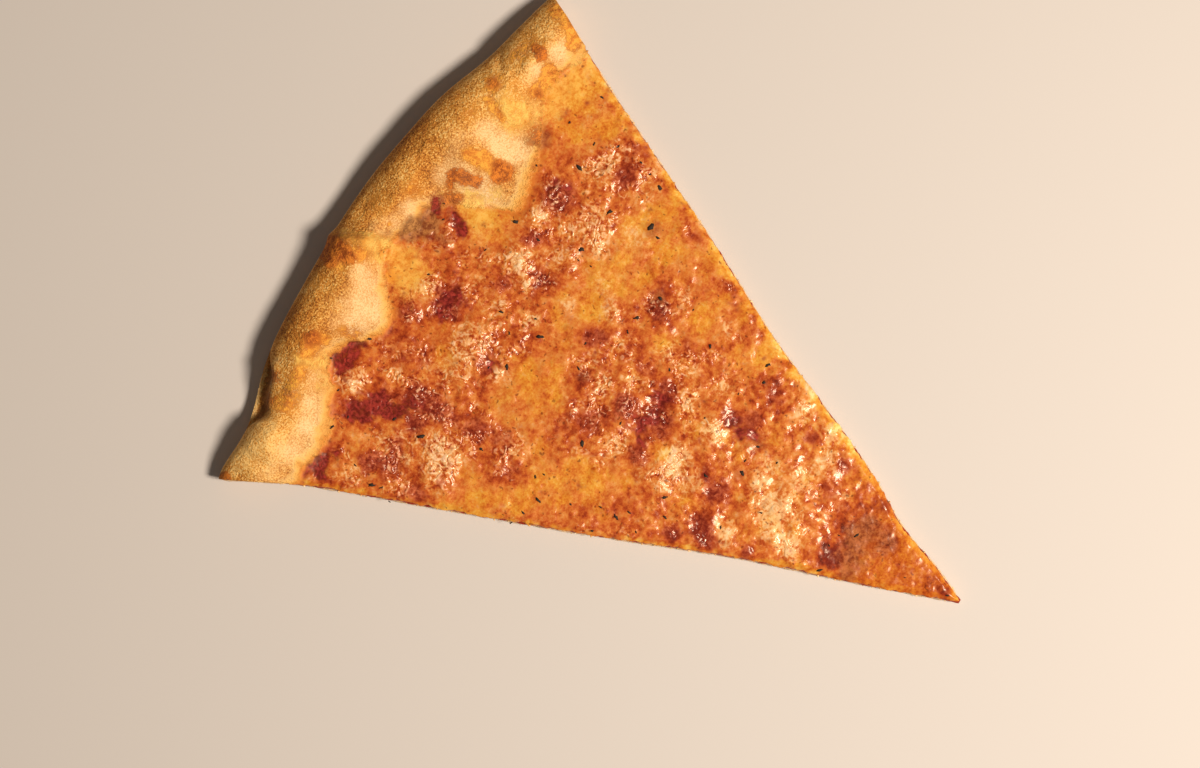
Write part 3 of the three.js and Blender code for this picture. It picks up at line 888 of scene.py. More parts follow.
# patches of colour: x, y, half width, strength
patches = {
    "cream": [
        (-46, 206, 5, 1), (-37, 195, 3, 0.8), (-71, 190, 4, 0.7), (-57, 186, 4, 0.6),
        (-52, 183, 2.4, 0.6), (-58, 178, 3, 0.8), (-50, 173, 5, 0.6), (-56, 166, 5, 0.9),
        (-48, 167, 5, 0.8), (-15, 180, 7, 0.8), (1, 179, 3, 0.7), (16, 181, 4.4, 1.3),
        (32.5, 183.5, 3.4, 1.2), (10, 175, 3, 0.9), (2, 168, 3, 0.9), (-18, 167, 3, 0.9),
        (13, 160.5, 2.5, 0.9), (18, 148, 4, 0.6), (40, 168, 6, 0.7), (34, 162, 4, 0.8), (55, 176, 5, 0.7),
        (65, 172, 3, 0.6), (56, 158, 4, 0.6), (65, 160, 4, 0.6), (-36, 150, 5, 0.6), (-18, 109, 5, 0.5),
        (4, 98, 5, 0.8), (-15, 103, 3, 0.8), (-10, 104, 3, 0.9), (5, 110, 3, 0.7), (9, 110, 2.4, 0.7),
        (-66, 172, 3, 0.6), (58, 172, 4, 0.5), (33, 172, 4, 0.6), (22, 172, 4, 0.5), (-18, 123, 5, 0.6),
        (-15, 96, 6, 0.5), (-21, 79, 4, 0.5), (-2, 77, 3, 0.8), (4, 77, 3, 0.8), (17, 125, 4, 0.7),
        (34, 112.5, 2.5, 0.8), (17, 116, 4, 0.6), (18, 103, 4, 0.6), (-6, 66, 6, 0.75), (-14, 65, 4, 0.5),
        (24, 77, 4, 0.7), (-3, 136, 4, 0.7), (3, 129, 4, 0.6), (-16, 56, 3, 0.6), (8, 52, 3, 0.6),
        (-27, 182, 7, 0.5), (-7, 202, 4, 1), (11, 190, 3, 0.5), (3, 190, 3, 0.5), (43, 154, 5, 0.6),
        (2, 143, 3, 0.4), (12, 140, 3, 0.6), (34, 130, 4, 0.6), (25, 153, 4, 0.5), (-9, 105, 4, 0.7),
        (-8, 72, 5, 0.4), (5, 66, 5, 0.6), (-24, 76, 3, 0.6), (15, 62, 5, 0.6), (24, 66, 4, 0.6),
        (-14, 58, 4, 0.7),
    ],
    "red": [
        (-63, 187, 3, 1), (-67, 187, 3, 1), (-62, 181, 5, 0.9), (-38, 180, 5, 1), (-39, 174, 4, 0.7),
        (-57, 162, 3.5, 1), (-66, 169, 4, 0.9), (-38, 165, 5, 0.8), (-35, 155, 6, 0.7),
        (-49, 152, 2.5, 0.8), (-43, 147, 4, 0.7), (40.5, 182, 6, 1.2), (7, 181, 3.5, 0.8),
        (24, 181, 4, 1), (-18, 172, 4, 0.9), (14, 173, 3, 0.9), (15, 168, 5, 0.6), (8, 147, 5, 0.9),
        (-4, 143, 3, 0.7), (27, 134, 4, 1), (-14, 133, 5, 0.7), (-5, 127, 5, 1.1), (9, 128, 4, 0.6),
        (57, 167, 5, 0.9), (68, 169, 5, 0.6), (47.5, 130, 2.5, 0.9), (53, 138, 4, 0.6), (44, 122, 3, 0.9),
        (44, 117, 4, 0.6), (24, 88, 4, 0.7), (23, 121, 3, 0.7), (-16, 114, 5, 0.9), (-32, 92, 3.5, 1),
        (-25, 85, 5, 1.1), (-28, 79, 4, 0.5), (-14, 88, 4, 0.7), (-10, 93, 2.5, 0.9), (12, 90, 5, 0.8),
        (-24, 68, 2.5, 0.9), (19, 70, 3, 0.8), (9, 57, 4, 0.6), (17, 56, 3, 0.7), (-10, 44, 3.5, 1.3),
        (5, 53, 4, 0.5), (4, 31, 4, 1), (13, 37, 3, 0.8), (0, 7, 2.5, 0.9), (5, 39, 3, 0.6),
        (34, 108, 4, 0.5), (-17, 203, 5, 0.8), (-23, 188, 7, 0.6), (-8, 193, 7, 1), (-30, 198, 6, 0.5),
        (-20, 140, 6, 0.5), (54, 193, 5, 0.6), (63, 192, 3, 0.7), (-47, 181, 4, 1), (-55, 182, 3, 0.7),
        (-45, 193, 5, 0.7), (-38, 188, 4, 0.8), (-4, 115, 6, 1), (6, 118, 4, 1), (10, 97, 3, 0.8),
        (-11, 86, 4, 0.7),
    ],
    "pool": [
        (-50, 198, 4.5, 1), (-54, 201, 3.5, 0.9), (-47, 193, 4, 0.9), (-55, 196, 3, 0.6),
        (-48, 188, 3, 0.8), (-43, 185, 3, 0.9), (-40, 182, 2.5, 0.8), (-43, 212.5, 3, 1),
        (-39.5, 211, 3.2, 1.1), (-45, 210, 2.2, 0.7), (-35.5, 210, 2.4, 0.8), (-75, 199, 3.6, 1),
        (-70, 199.5, 3, 0.9), (-79, 199, 2.4, 0.6), (-64, 186, 2.6, 0.5), (-8, 194, 3.5, 1),
        (-4, 192, 3, 0.8), (-12, 192, 2.5, 0.7), (17.5, 214, 2.2, 1.2), (15, 213, 2, 0.8),
        (17, 205, 2.6, 1.2), (14, 202, 2.2, 1), (-18, 171, 2.6, 0.7), (-15, 173, 2, 0.5),
        (-8, 119, 3.6, 1), (-3, 117, 3, 0.8), (3, 119, 3.4, 0.9), (-12, 116, 2.4, 0.6), (9, 95, 3, 0.9),
        (8, 90, 2.6, 0.9), (9, 85, 2.6, 0.8), (24, 181.5, 2.6, 0.7), (44, 181, 2.6, 0.6),
        (57, 167, 2.6, 0.5), (-32, 91, 2.4, 0.5),
    ],
    "flame": [
        (68, 168, 4.5, 1), (57, 138, 3, 1), (56, 133, 2, 0.8), (47.5, 130, 2.6, 1), (20, 72, 4, 1),
        (-24, 68, 2, 0.8), (45, 123, 3, 0.9), (40, 113, 3, 0.5), (62, 187, 3, 0.5), (68, 189, 2.4, 0.6),
        (-68, 187, 3, 0.8), (-17, 206, 3, 0.5), (-25, 197, 3, 0.9), (36, 104, 3, 0.5), (-39, 116, 3, 0.5),
        (17, 94, 3, 0.4), (10, 58, 3, 0.5), (8, 15, 3, 0.4), (-10, 47, 3, 0.5),
    ],
    "smooth": [
        (-55, 155, 9, 1), (-42, 131, 9, 1), (-50, 141, 6, 0.8), (-25, 158, 9, 1), (-9, 155, 8, 1),
        (-35, 140, 6, 0.7), (-62, 150, 5, 0.7), (-61, 193, 6, 0.8), (-24, 184, 4, 0.9),
        (-18, 191, 7, 0.8), (-18, 146, 5, 0.8), (-68, 158, 5, 0.8), (25, 156, 9, 1), (8, 157, 7, 0.9),
        (43, 155, 7, 0.9), (55, 150, 8, 1), (30, 146, 7, 0.9), (45, 142, 6, 0.8), (12, 165, 5, 0.7),
        (20, 196, 9, 1), (35, 194, 8, 1), (50, 192, 6, 0.8), (66, 192, 9, 1), (68, 181, 6, 0.9),
        (61, 185, 5, 0.8), (70, 171, 4, 0.6), (15, 151, 5, 0.7), (18, 128, 5, 0.8), (40, 121, 6, 0.8),
        (48, 127, 5, 0.8), (-26, 115, 6, 0.9), (-12, 110, 5, 0.8), (30, 120, 8, 0.9), (0, 25, 16, 1),
        (33, 98, 8, 0.8), (-6, 210, 8, 0.8), (73, 195, 8, 1.2), (-33, 122, 6, 0.8), (27, 105, 5, 0.7),
        (-66, 176, 4, 0.4), (32, 172, 5, 0.4), (40, 135, 6, 0.5), (50, 132, 6, 0.5), (-40, 111, 5, 0.6),
        (40, 110, 5, 0.5), (11, 131, 4, 0.4), (-20, 92, 5, 0.5), (-11, 80, 4, 0.4), (20, 79, 4, 0.4),
        (-18, 161, 5, 0.4), (-30, 145, 5, 0.4), (28, 175, 4, 0.3), (-30, 103, 4, 0.5), (12, 112, 4, 0.5),
        (-2, 110, 4, 0.4), (-30, 130, 5, 0.6),
    ],
    "brown": [
        (0, 41.5, 4, 1.1), (5, 39.5, 4, 0.9), (-8, 37, 5, 0.8), (-13, 37, 3, 0.6), (-5, 41, 4, 0.5),
        (3, 31, 4, 0.6), (8, 33, 3, 0.4), (0, 35, 5, 0.4), (-15.5, 233.5, 3.4, 1.2),
        (-12.5, 230.5, 3.4, 1.2), (-17.5, 230.5, 1.8, 0.6), (-11.5, 234.5, 2.4, 1),
        (-13, 226.5, 2.4, 0.7), (2, 211, 2.6, 0.4), (20, 211, 3, 0.7), (16, 209, 3, 0.5),
        (-4, 144, 3, 0.6), (48, 150.5, 3.4, 0.8), (30, 137, 3.6, 0.7), (28.5, 165.5, 2.2, 0.5),
        (53, 196, 4.5, 0.6), (-37, 110, 2.4, 0.5), (-23, 100, 2, 0.5), (-3.5, 84, 2.6, 0.6),
        (7, 85, 3.4, 0.8), (26, 93, 2.2, 0.5), (-15.5, 166, 2, 0.4), (52, 181, 2.2, 0.5),
        (-49, 178, 3, 0.4), (1, 141, 2.4, 0.4), (10, 206, 3, 0.35), (22.5, 208.5, 2.2, 0.7),
        (24.5, 213, 1.6, 0.7), (28, 213.5, 2.2, 1.4), (29, 210, 2.2, 1.5), (29.8, 206.5, 2, 1.3),
        (37.5, 200.5, 2.8, 1.7), (34.5, 201.5, 2, 1.1), (38, 203.5, 2, 0.8), (75.2, 210.5, 1.9, 1.8),
        (75.5, 213, 1.6, 1.2), (-94.5, 223.5, 2.2, 1), (59, 218.5, 2.2, 0.7), (54, 197, 4, 0.35),
        (8, 205, 4, 0.5), (-41, 223.5, 3.2, 0.9), (65, 205, 1.8, 0.7), (-58, 226.8, 2.4, 0.7),
        (-65, 224.5, 2.4, 0.6),
    ],
    # painted shade in the valleys and under the roll: x, y, half width, strength
    "paintedShade": [
        (3.5, 216.5, 2.6, 1.1), (7, 214.5, 3, 1.1), (11, 211.5, 3.4, 0.9), (8, 217, 2, 0.5),
        (13.5, 214.5, 2.2, 0.8), (20, 214, 2.2, 0.6), (8, 210, 3, 0.5), (-72, 225, 2, 0.7),
        (-68.5, 224.5, 2, 1), (-64.5, 226.5, 2.2, 1), (-60.5, 228, 2.2, 1), (-57, 229.5, 2, 0.8),
        (50, 199.5, 3, 0.5),
    ],
    "orange": [
        (-14, 233, 4.2, 1.3), (-13.5, 229, 4, 1.2), (-45, 223, 3, 1), (-41, 222.5, 3.4, 1.1),
        (-39, 219.5, 2, 0.7), (-52, 220, 3, 0.6), (-64, 220, 4, 0.7), (-60, 219, 4, 0.6),
        (-55, 222, 3.5, 0.5), (-9, 235, 2, 0.8), (-7.5, 230.5, 2, 0.5), (-6, 227, 2.2, 0.5),
        (-11, 226, 2.6, 1), (-9, 223, 2.4, 0.6), (70, 205, 2.6, 0.8), (66, 202, 2.2, 0.6),
        (73.5, 206, 1.8, 0.7), (-10.5, 213.5, 2.6, 1), (36, 212, 2.5, 1.6), (36.5, 208.5, 2.4, 1.4),
        (37, 204, 2.6, 1.5), (39, 208, 1.6, 0.7), (52.5, 214, 2.4, 0.9), (51.5, 210, 1.8, 0.8),
        (54, 217, 1.8, 0.7), (59, 218, 3.2, 1), (90, 214, 2.8, 1.5), (88.5, 209, 2.4, 1.2),
        (84.5, 204, 2.8, 1.4), (87.5, 206, 2, 0.8), (65, 205.5, 3, 1), (72.5, 204.5, 2.8, 1),
        (62, 212, 3, 0.3), (47, 219.5, 3, 0.5), (17, 222, 3.5, 0.6), (3, 222.5, 1.5, 0.5),
        (-33, 213, 3, 0.7), (-34, 217, 2.4, 0.5), (71, 217, 4, 0.55), (77, 214.5, 4, 0.5),
        (-25, 230, 4, 0.3), (8, 228, 4, 0.3),
    ],
    "yellow": [
        (-8, 233, 1.8, 1), (-6.8, 229.5, 1.8, 1.1), (-5.2, 226, 2, 1.1), (-49, 221.5, 3, 1.1),
        (-46, 217, 3, 0.9), (-7, 221.5, 3, 1.2), (-4, 219, 3.4, 1.1), (-8, 226, 2.4, 0.6),
        (-3, 224, 1.8, 0.9), (-9, 208, 7, 0.8), (-4, 212, 5, 0.8), (55, 211, 5, 0.8), (56, 205, 5, 0.7),
        (51, 206, 3, 0.6), (23, 206, 4, 1), (30, 198.5, 3, 0.6), (25, 203, 2.6, 0.8), (68, 200, 4, 1),
        (76, 198, 4, 1), (83, 197, 3, 0.9), (87, 206, 2.2, 0.6), (20, 199, 5, 0.9), (71, 196, 5, 0.8),
        (62, 199, 4, 0.8), (58, 217, 4, 0.5), (-52, 213, 3, 0.6),
    ],
    # pale dough, with some spots of painted highlight on the rim
    "pale": [
        (-82, 212, 5, 0.3), (-75, 209.5, 4.4, 0.7), (-66, 209.5, 4.6, 1), (-59, 213, 4, 0.7),
        (-52, 217, 3, 0.6), (-88, 214, 4, 0.3), (-30, 214, 4, 1), (-24, 213, 5, 1.2),
        (-18, 219, 4.5, 1.2), (-15, 223, 3, 1.1), (-26, 221, 4, 0.8), (11, 219.5, 3.4, 1.1),
        (4, 222.5, 2.6, 0.9), (0, 226, 2.6, 0.9), (25, 216.5, 3, 0.9), (31, 217, 4, 1),
        (27.5, 200, 4, 1.2), (31, 204, 3, 0.9), (27, 207, 4, 0.9), (30, 211, 3, 0.8), (47, 203, 5, 0.5),
        (45, 213, 4, 1.1), (44, 206, 4, 1.1), (45, 200, 3.6, 1.1), (38, 218, 4, 0.8), (79, 206, 3.4, 1.2),
        (71, 209.5, 2.6, 0.7), (56, 214.5, 1.6, 0.8), (66, 210, 4, 0.3), (83, 211, 4, 0.5),
        (-33, 220, 3, 0.7), (1, 213, 1.8, 0.7), (-53, 228.5, 1.6, 0.8),
    ],
}

# lines of painted shade where the dough is folded: from x, y, to x, y, width
foldShadeLines = [
    (-10.5, 237.5, -6, 229, 1.0), (-6, 229, -2.5, 223.5, 1.0), (-2.5, 223.5, 1, 220.5, 1.2),
    (-10.8, 237, -12.2, 229, 0.8), (64.5, 220.8, 68.5, 223.8, 0.8), (-50.5, 226, -48.5, 219, 0.5),
    (-37.5, 226, -36.5, 219.5, 0.5), (72, 216, 73.5, 211, 0.5),
]

# blisters with wrinkles running round them: x, y, half width
rings = [
    (-5, 127, 4.4), (40.5, 182, 4.6), (-17, 203, 4.5), (54.5, 208.5, 2), (73, 205.5, 2.4), (-57, 162, 3),
    (-6, 176, 5), (-23, 190, 4), (-31, 176, 4.5), (16, 117, 4), (-60, 184, 4), (7, 181, 3.4),
]

goldenShare = 0.6180339887
silverShare = 0.7548776662


def spreadPlaces(count, margin):
    # places spread evenly over the cheese
    k = np.arange(count)
    share = np.sqrt((k + 0.5) / count)
    side = mix(margin, 1 - margin, (k * goldenShare) % 1)
    rough = share * (wedge["footReach"] - 6)
    angle = mix(leftCut(rough), rightCut(rough), side)
    return flatPlace(share * (footAt(angle) - 6), angle)


def cheeseLumps():
    lumps = list(cheese["relief"])
    placesX, placesY = spreadPlaces(cheese["lumpCount"], 0.02)
    for k in range(cheese["lumpCount"]):
        sizeShare = (k * silverShare) % 1
        size = mix(cheese["smallestLump"], cheese["largestLump"], sizeShare)
        lumps.append((placesX[k], placesY[k], size, cheese["lumpRise"] * (0.6 + 0.4 * sizeShare)))
    return lumps


def scattered(x, y, places, limit, power=1.0):
    # round swellings at places: x, y, half width, strength
    total = np.zeros_like(x)
    for centreX, centreY, size, strength in places:
        away = ((x - centreX) ** 2 + (y - centreY) ** 2) / size ** 2
        near = away < limit
        total[near] += strength * np.exp(-away[near] ** power)
    return total


def patchFields(x, y):
    crisp = ("brown", "orange", "red")
    return {kind: scattered(x, y, patches[kind], 7, 1.35 if kind in crisp else 1.0) for kind in patches}


def foldShadeField(x, y):
    total = np.zeros_like(x)
    for startX, startY, endX, endY, wide in foldShadeLines:
        runX, runY = endX - startX, endY - startY
        along = np.clip(((x - startX) * runX + (y - startY) * runY) / (runX ** 2 + runY ** 2), 0, 1)
        away = np.hypot(x - startX - along * runX, y - startY - along * runY)
        total = np.maximum(total, np.exp(-((away / wide) ** 2)))
    return total


def warped(x, y, much=1.0):
    # shifts the patches about, so that their outlines come out uneven
    warpX = x + much * (0.8 * grain(x, y, 6, 41, 2) + 0.9 * grain(x, y, 2, 42, 2))
    warpY = y + much * (0.8 * grain(x, y, 6, 43, 2) + 0.9 * grain(x, y, 2, 44, 2))
    return warpX, warpY


def ringRipple(x, y):
    total = np.zeros_like(x)
    for centreX, centreY, size in rings:
        away = np.hypot(x - centreX, y - centreY)
        fade = np.exp(-((away / size) ** 4))
        total += fade * np.cos(away * 2 * np.pi / (size * 0.5) + 1.5 * grain(x, y, 4, 49))
    return total


def cutDistance(reach, angle):
    degreesIn = np.minimum(angle - leftCut(reach), rightCut(reach) - angle)
    return reach * np.radians(np.maximum(degreesIn, 0))


def cheeseMarks(x, y):
    # how pale, brown, yellow and wrinkled the cheese is, and where sauce pools on it
    warpX, warpY = warped(x, y)
    reach, angle = fromTip(x, y)
    field = patchFields(warpX, warpY)
    smooth = smoothStep(field["smooth"], 0.2, 0.9)
    cream = np.clip(field["cream"], 0, 1.2)
    red = np.clip(field["red"], 0, 1.2)
    uneven = 0.24 * grain(x, y, 14, 45, 2) + 0.42 * grain(x, y, 5, 46, 2) + 0.55 * grain(x, y, 2.2, 47, 2)
    # its patches stand out more in the half towards the tip, where the cream also stands in for glints as
    # painted sheen
    low = 1 - smoothStep(reach, 85, 125)
    tone = cheese["tone"] + (0.22 + 0.06 * low) * cream - (0.13 + 0.1 * low) * red
    tone += 0.13 * smooth + (0.32 - 0.18 * smooth) * uneven
    yellow = np.clip(field["yellow"], 0, 1)
    tone = tone + 0.12 * yellow + 0.2 * np.clip(field["pale"], 0, 1)
    pool = smoothStep(field["pool"] + 0.5 * grain(x, y, 4, 48, 3), 0.15, 0.95)
    rough = smoothStep(grain(x, y, 7, 56, 2) + 0.3 * grain(x, y, 2.5, 57), -0.2, 0.5)
    wrinkle = 0.7 * np.maximum(cream, 0.65 * red) + 0.42 * rough - 0.6 * smooth - 0.2 * pool
    wrinkle = np.clip(wrinkle, 0.05, 1)
    wrinkle *= smoothStep(reach, 18, 60) * mix(0.5, 1, smoothStep(reach, 90, 115))
    wrinkle = np.maximum(wrinkle, 0.1)
    foot = footAt(angle)
    edge = smoothStep(reach, foot - 7, foot)
    # the cheese is oily and golden where it is smooth, towards the tip and along the cuts
    away = cutDistance(reach, angle) + 1.3 * grain(x, y, 5, 65, 2) + 0.6 * grain(x, y, 1.8, 66)
    width = np.where(angle > 0, cheese["rightBand"], cheese["leftBand"])
    band = 1 - smoothStep(away / width, 0.4, 1.1)
    tip = 1 - smoothStep(reach + 4 * grain(x, y, 9, 67, 2), 44, 54)
    gold = 0.7 * smooth + 0.8 * band + 0.35 * tip + 0.45 * grain(x, y, 9, 68, 2)
    gold += 0.25 * low - 0.5 * pool - 0.4 * red - 0.3 * (1 - low) * cream
    # painted light: a brighter strip along the right cut
    paintedLitEdge = 1 - smoothStep(cutDistance(reach, angle) + 0.4 * grain(x, y, 2, 69, 2), 0.3, 2.4)
    paintedLitEdge = paintedLitEdge * (angle > 0)
    tone = tone + 0.1 * band + 0.14 * paintedLitEdge
    tone += 0.05 * (1 - smoothStep(reach, 80, 115)) - 0.22 * tip
    wrinkle = np.maximum(wrinkle * (1 - 0.8 * band) * (1 - 0.8 * tip), 0.03)
    calm = np.maximum(np.maximum(tip, band), 0.7 * smooth)
    marks = crustMarks(x, y)
    marks.update({
        "tone": tone, "pool": pool, "wrinkle": wrinkle, "dry": edge, "calm": np.clip(calm, 0, 1),
        "pale": np.clip(field["pale"], 0, 1) * edge, "gold": np.clip(gold, 0, 1),
        # cream is pale cheese and partly painted sheen, stronger towards the tip
        "ruddy": np.clip(red * (1 - smooth), 0, 1), "cream": np.clip(cream * (1 + 0.45 * low), 0, 1.2),
        "flame": np.clip(field["flame"], 0, 1),
    })
    return marks


def cheeseTop(x, y, marks):
    reach, angle = fromTip(x, y)
    height = np.full(x.shape, wedge["cheeseBottom"] + wedge["cheese"] - 0.35)
    relief = 0.3 * grain(x, y, 5, 53, 2) - 0.3 * marks["pool"] + 0.16 * ringRipple(x, y)
    relief += scattered(x, y, cheeseLumps(), 6)
    height += relief * (1 - 0.65 * marks["calm"])
    height -= cheese["edgeDrop"] * (1 - smoothStep(cutDistance(reach, angle), 0, cheese["edgeWidth"]))
    foot = footAt(angle)
    melt = smoothStep(reach + 2 * grain(x, y, 6, 59, 2), foot - 9, foot + 1)
    end = meltReach(angle)
    edge = smoothStep(reach, foot + 1.2, end)
    height = mix(height, rimTop(reach, angle) + mix(*cheese["filmHeights"], edge), melt)
    ridges = 1 - np.abs(grain(x, y, 3.0, 51, 2))
    bumps = marks["wrinkle"] * (0.4 * (ridges - 0.7) + 0.1 * grain(x, y, 1.6, 52))
    bumps += 0.08 * grain(x, y, 2.2, 60, 2)
    return height + bumps * (1 - 0.9 * edge)


def meltReach(angle):
    x, y = flatPlace(np.full_like(angle, 216.0), angle)
    return footAt(angle) + 3.6 + 1.2 * grain(x, y, 5, 61, 3)


def buildCheese():
    skin = Skin()
    rows = []
    for reach, angle in rowsTo(meltReach, cheese["facet"], first=1.6, inset=0.35):
        x, y = flatPlace(reach, angle)
        edge = np.minimum(cutDistance(reach, angle), 3)
        wobble = (1 - edge / 3) * (0.5 * grain(x, y, 3, 62, 3))
        x = x + wobble * np.sign(angle)
        rows.append((skin.add(x, y, np.zeros_like(x)), reach, angle))
    skin.stitchRows(rows)
    corners = skin.corners()
    x, y = corners[:, 0], corners[:, 1]
    corners[:, 2] = cheeseTop(x, y, cheeseMarks(x, y))
    skin.points = [corners]
    # the edge: once round, then rings that bulge out and go down to the sauce
    loop = np.concatenate([
        rows[0][0][:-1],
        [row[0][-1] for row in rows[:-1]],
        rows[-1][0][::-1][:-1],
        [row[0][0] for row in rows[::-1][:-1]],
    ])
    x, y, z = corners[loop].T
    outX, outY = outwardOf(x, y)
    edgeReach, edgeAngle = fromTip(x, y)
    bottom = np.full_like(z, wedge["cheeseBottom"] - 0.05)
    sag = 0.9 * smoothStep(grain(x, y, 5, 63, 2), 0.1, 0.6) * (edgeReach < footAt(edgeAngle) - 3)
    bulge = np.clip(z - bottom, 0, 2) * 0.22 * (1 + 0.8 * grain(x, y, 2.2, 64, 2))
    upper = loop
    for share, push in ((0.12, 0.55), (0.3, 0.9), (0.55, 1.0), (0.8, 0.7), (1.0, 0.1)):
        low = bottom - sag * (push > 0.5)
        lower = skin.add(x + outX * bulge * push, y + outY * bulge * push, mix(z, low, share))
        ringFaces(skin, upper, lower)
        upper = lower
    capFaces(skin, upper, False)
    return skin, cheeseMarks(*skin.corners().T[:2])


def cheeseFinish():
    f = Finish("meltedCheese")
    mottle = f.noise(2.4, 4, 0.6)
    wide = f.centred(mottle)
    fine = f.centred(f.noise(0.8, 3, 0.7))
    uneven = f.plus(wide, (fine, 0.7))
    wrinkle = f.mark("wrinkle")
    # the baked skin is crinkled: wandering creases, and a few small domes
    dome = f.plus(0.45, (f.cellNoise(1.4, 0.35), -1.0))
    creases = f.plus(f.creases(6, 42, 5), (f.creases(3.5, 36, 4.5), 0.6))
    crinkle = f.plus(0.0, (dome, 0.14), (creases, 0.3))
    grainy = f.plus(0.0, (wide, 0.65), (fine, 1.1))
    busy = f.between(wrinkle, 0, 0.6, 0.55, 1.0)
    tone = f.plus(f.mark("tone"), (grainy, busy), (f.times(crinkle, wrinkle), 0.42))
    detail = f.between(tone, 0.15, 0.85)
    # golden where it is oily, pinker elsewhere
    patchy = f.centred(f.noise(7, 3, 0.6))
    share = f.share("gold", 0.2, 1.0, (wide, 1.0), (patchy, 1.6))
    tint = f.blend(share, (0.95, 0.97, 1.28, 1.0), (1.01, 1.25, 0.92, 1.0))
    colour = f.blend(1.0, f.ramp(tone, cheese["tones"]), tint, "MULTIPLY")
    # pale cream cheese, partly painted sheen that follows the crinkles
    share = f.share("cream", 0.35, 1.3, (uneven, 2.2), (crinkle, 0.7))
    colour = f.lay(colour, share, 0.6, detail, *cheese["creamTones"])

    def layColours(colour, layers, by):
        for mark, broken, low, high, much, dark, light in layers:
            colour = f.lay(colour, f.share(mark, low, high, (uneven, broken)), much, by, dark, light)
        return colour

    colour = layColours(colour, cheese["bakedLayers"], detail)
    # painted highlight: pale glint lines along the creases
    glintStreaks = f.between(f.plus(creases, (f.mark("cream"), 0.25)), 0.5, 1.4)
    glintStreaks = f.times(glintStreaks, f.between(f.noise(1.2, 1.0), 0.4, 0.6, 0.25, 1.0))
    lines = f.between(f.plus(wrinkle, (f.mark("ruddy"), -0.25)), 0.1, 0.8, 0.0, 0.85)
    colour = f.blend(f.times(glintStreaks, lines), colour, cheese["creaseGlintTone"])
    colour = f.lay(colour, f.share("pale", 0.2, 1.1, (uneven, 1.0)), 1.0, detail, *cheese["paleTones"])
    colour = footColour(f, colour, uneven)
    colour = layColours(colour, cheese["dryLayers"], f.between(uneven, -0.3, 0.3))
    # painted shade in the valleys of the rim, laid on the cheese's thin edge too
    colour = paintedShadeColour(f, colour, uneven)
    deep = f.between(f.plus(uneven, (crinkle, 0.25)), -0.22, 0.3)
    colour = f.lay(colour, f.share("pool", 0.0, 1.1, (uneven, 1.5)), 1.0, deep, *cheese["poolTones"])
    # small dark crumbs of browned cheese and spice
    dots = f.between(f.cellNoise(2.1, 0.5), 0.1, 0.28, 0.7, 0.0)
    dots = f.times(dots, f.between(f.noise(6, 2), 0.44, 0.54))
    colour = f.blend(dots, colour, cheese["dotTone"])
    # the thin edge on the foot of the rim looks like the crust
    film = f.between(footPlace(f, uneven), 0.27, 0.45)
    crust, crustHeight = crustColour(f)
    colour = f.blend(film, colour, crust)
    calm = f.between(f.maths("MAXIMUM", f.mark("calm"), f.mark("dry")), 0, 1, 0.2, 0.06)
    small = f.times(f.noise(0.9, 2, 0.5, 0.8), calm)
    height = f.plus(small, (crinkle, f.between(wrinkle, 0, 1, 0.05, 1.0)))
    height = f.plus(f.times(height, f.plus(1.0, (film, -1.0))), (crustHeight, film))
    roughness = f.plus(f.between(mottle, 0.3, 0.7, 0.17, 0.27), (f.mark("dry"), 0.45), (film, 0.135))
    return f.finish({
        "Base Color": colour, "Roughness": roughness, "Normal": f.bump(height, 0.28),
        "Specular IOR Level": 0.33, "Specular Tint": cheese["glintTint"],
    })


herbs = {
    "length": 2.2,
    "corners": 11,
    "tones": ((20, 12, 6), (60, 40, 18)),
    # x, y, size
    "places": [
        (30, 166, 1.4), (45, 165, 1.5), (48, 151, 1.6), (26, 189, 1.3), (52, 181, 1.3), (-71, 182, 1.3),
        (-49, 177, 1.3), (-15, 166, 1.1), (-1, 162, 1.3), (-23, 132, 1.4), (21, 139, 1), (-37, 110, 1.1),
        (-23, 100, 1.1), (-3, 83, 1.5), (31, 95, 1), (-16, 45, 1), (-62, 203, 0.9), (-31.5, 208.3, 0.9),
        (-43.5, 215.5, 0.7), (-51, 207.8, 0.6), (-56.5, 200.5, 0.6), (-68.5, 190, 0.6), (-49, 187.5, 0.8),
        (-70, 179, 0.6), (-72.5, 174.5, 0.6), (-18.5, 170.7, 0.6), (-42, 158.5, 0.8), (-46, 134, 1.1),
        (-57, 137.5, 0.6), (-52, 136, 0.8), (-40, 139, 0.7), (-38, 137, 0.5), (-1, 177, 0.8),
        (-5.5, 171, 0.6), (3, 166.5, 0.6), (26.5, 165, 0.5), (5, 148.5, 0.6), (30.5, 136, 1),
        (15.5, 139, 0.7), (27, 160.5, 0.5), (-3, 146, 0.7), (64, 165, 0.8), (62.5, 160.5, 0.6),
        (60.5, 155.5, 1.1), (46.5, 147.3, 0.9), (75, 187, 0.7), (61, 181, 0.6), (64.5, 174, 0.7),
        (-41.5, 124.5, 0.7), (-45, 114, 0.7), (-37, 115.7, 0.6), (-10.5, 125, 0.7), (-33.5, 107, 0.7),
        (-37.5, 101.8, 0.5), (-28.5, 96.5, 0.7), (-10, 92.5, 0.9), (-21.5, 79.5, 0.7), (5.5, 103, 0.5),
        (1, 84.5, 0.6), (7, 83.5, 0.9), (26, 114, 0.8), (25.5, 93, 0.8), (18, 98, 0.5), (33, 125, 0.5),
        (12.5, 121, 0.7), (-7.5, 46.8, 0.6), (-3, 45.8, 0.6), (6, 75.5, 0.5), (-10.5, 71, 0.6),
        (0, 41, 0.9), (-3, 20.5, 0.4), (-0.5, 5.7, 0.6), (13, 192.2, 0.5), (14, 209, 0.5),
        (18.5, 211.5, 0.5), (-3.5, 203.3, 0.6), (45, 193, 0.5), (62.5, 191.5, 0.6), (25, 179.5, 0.8),
    ],
}


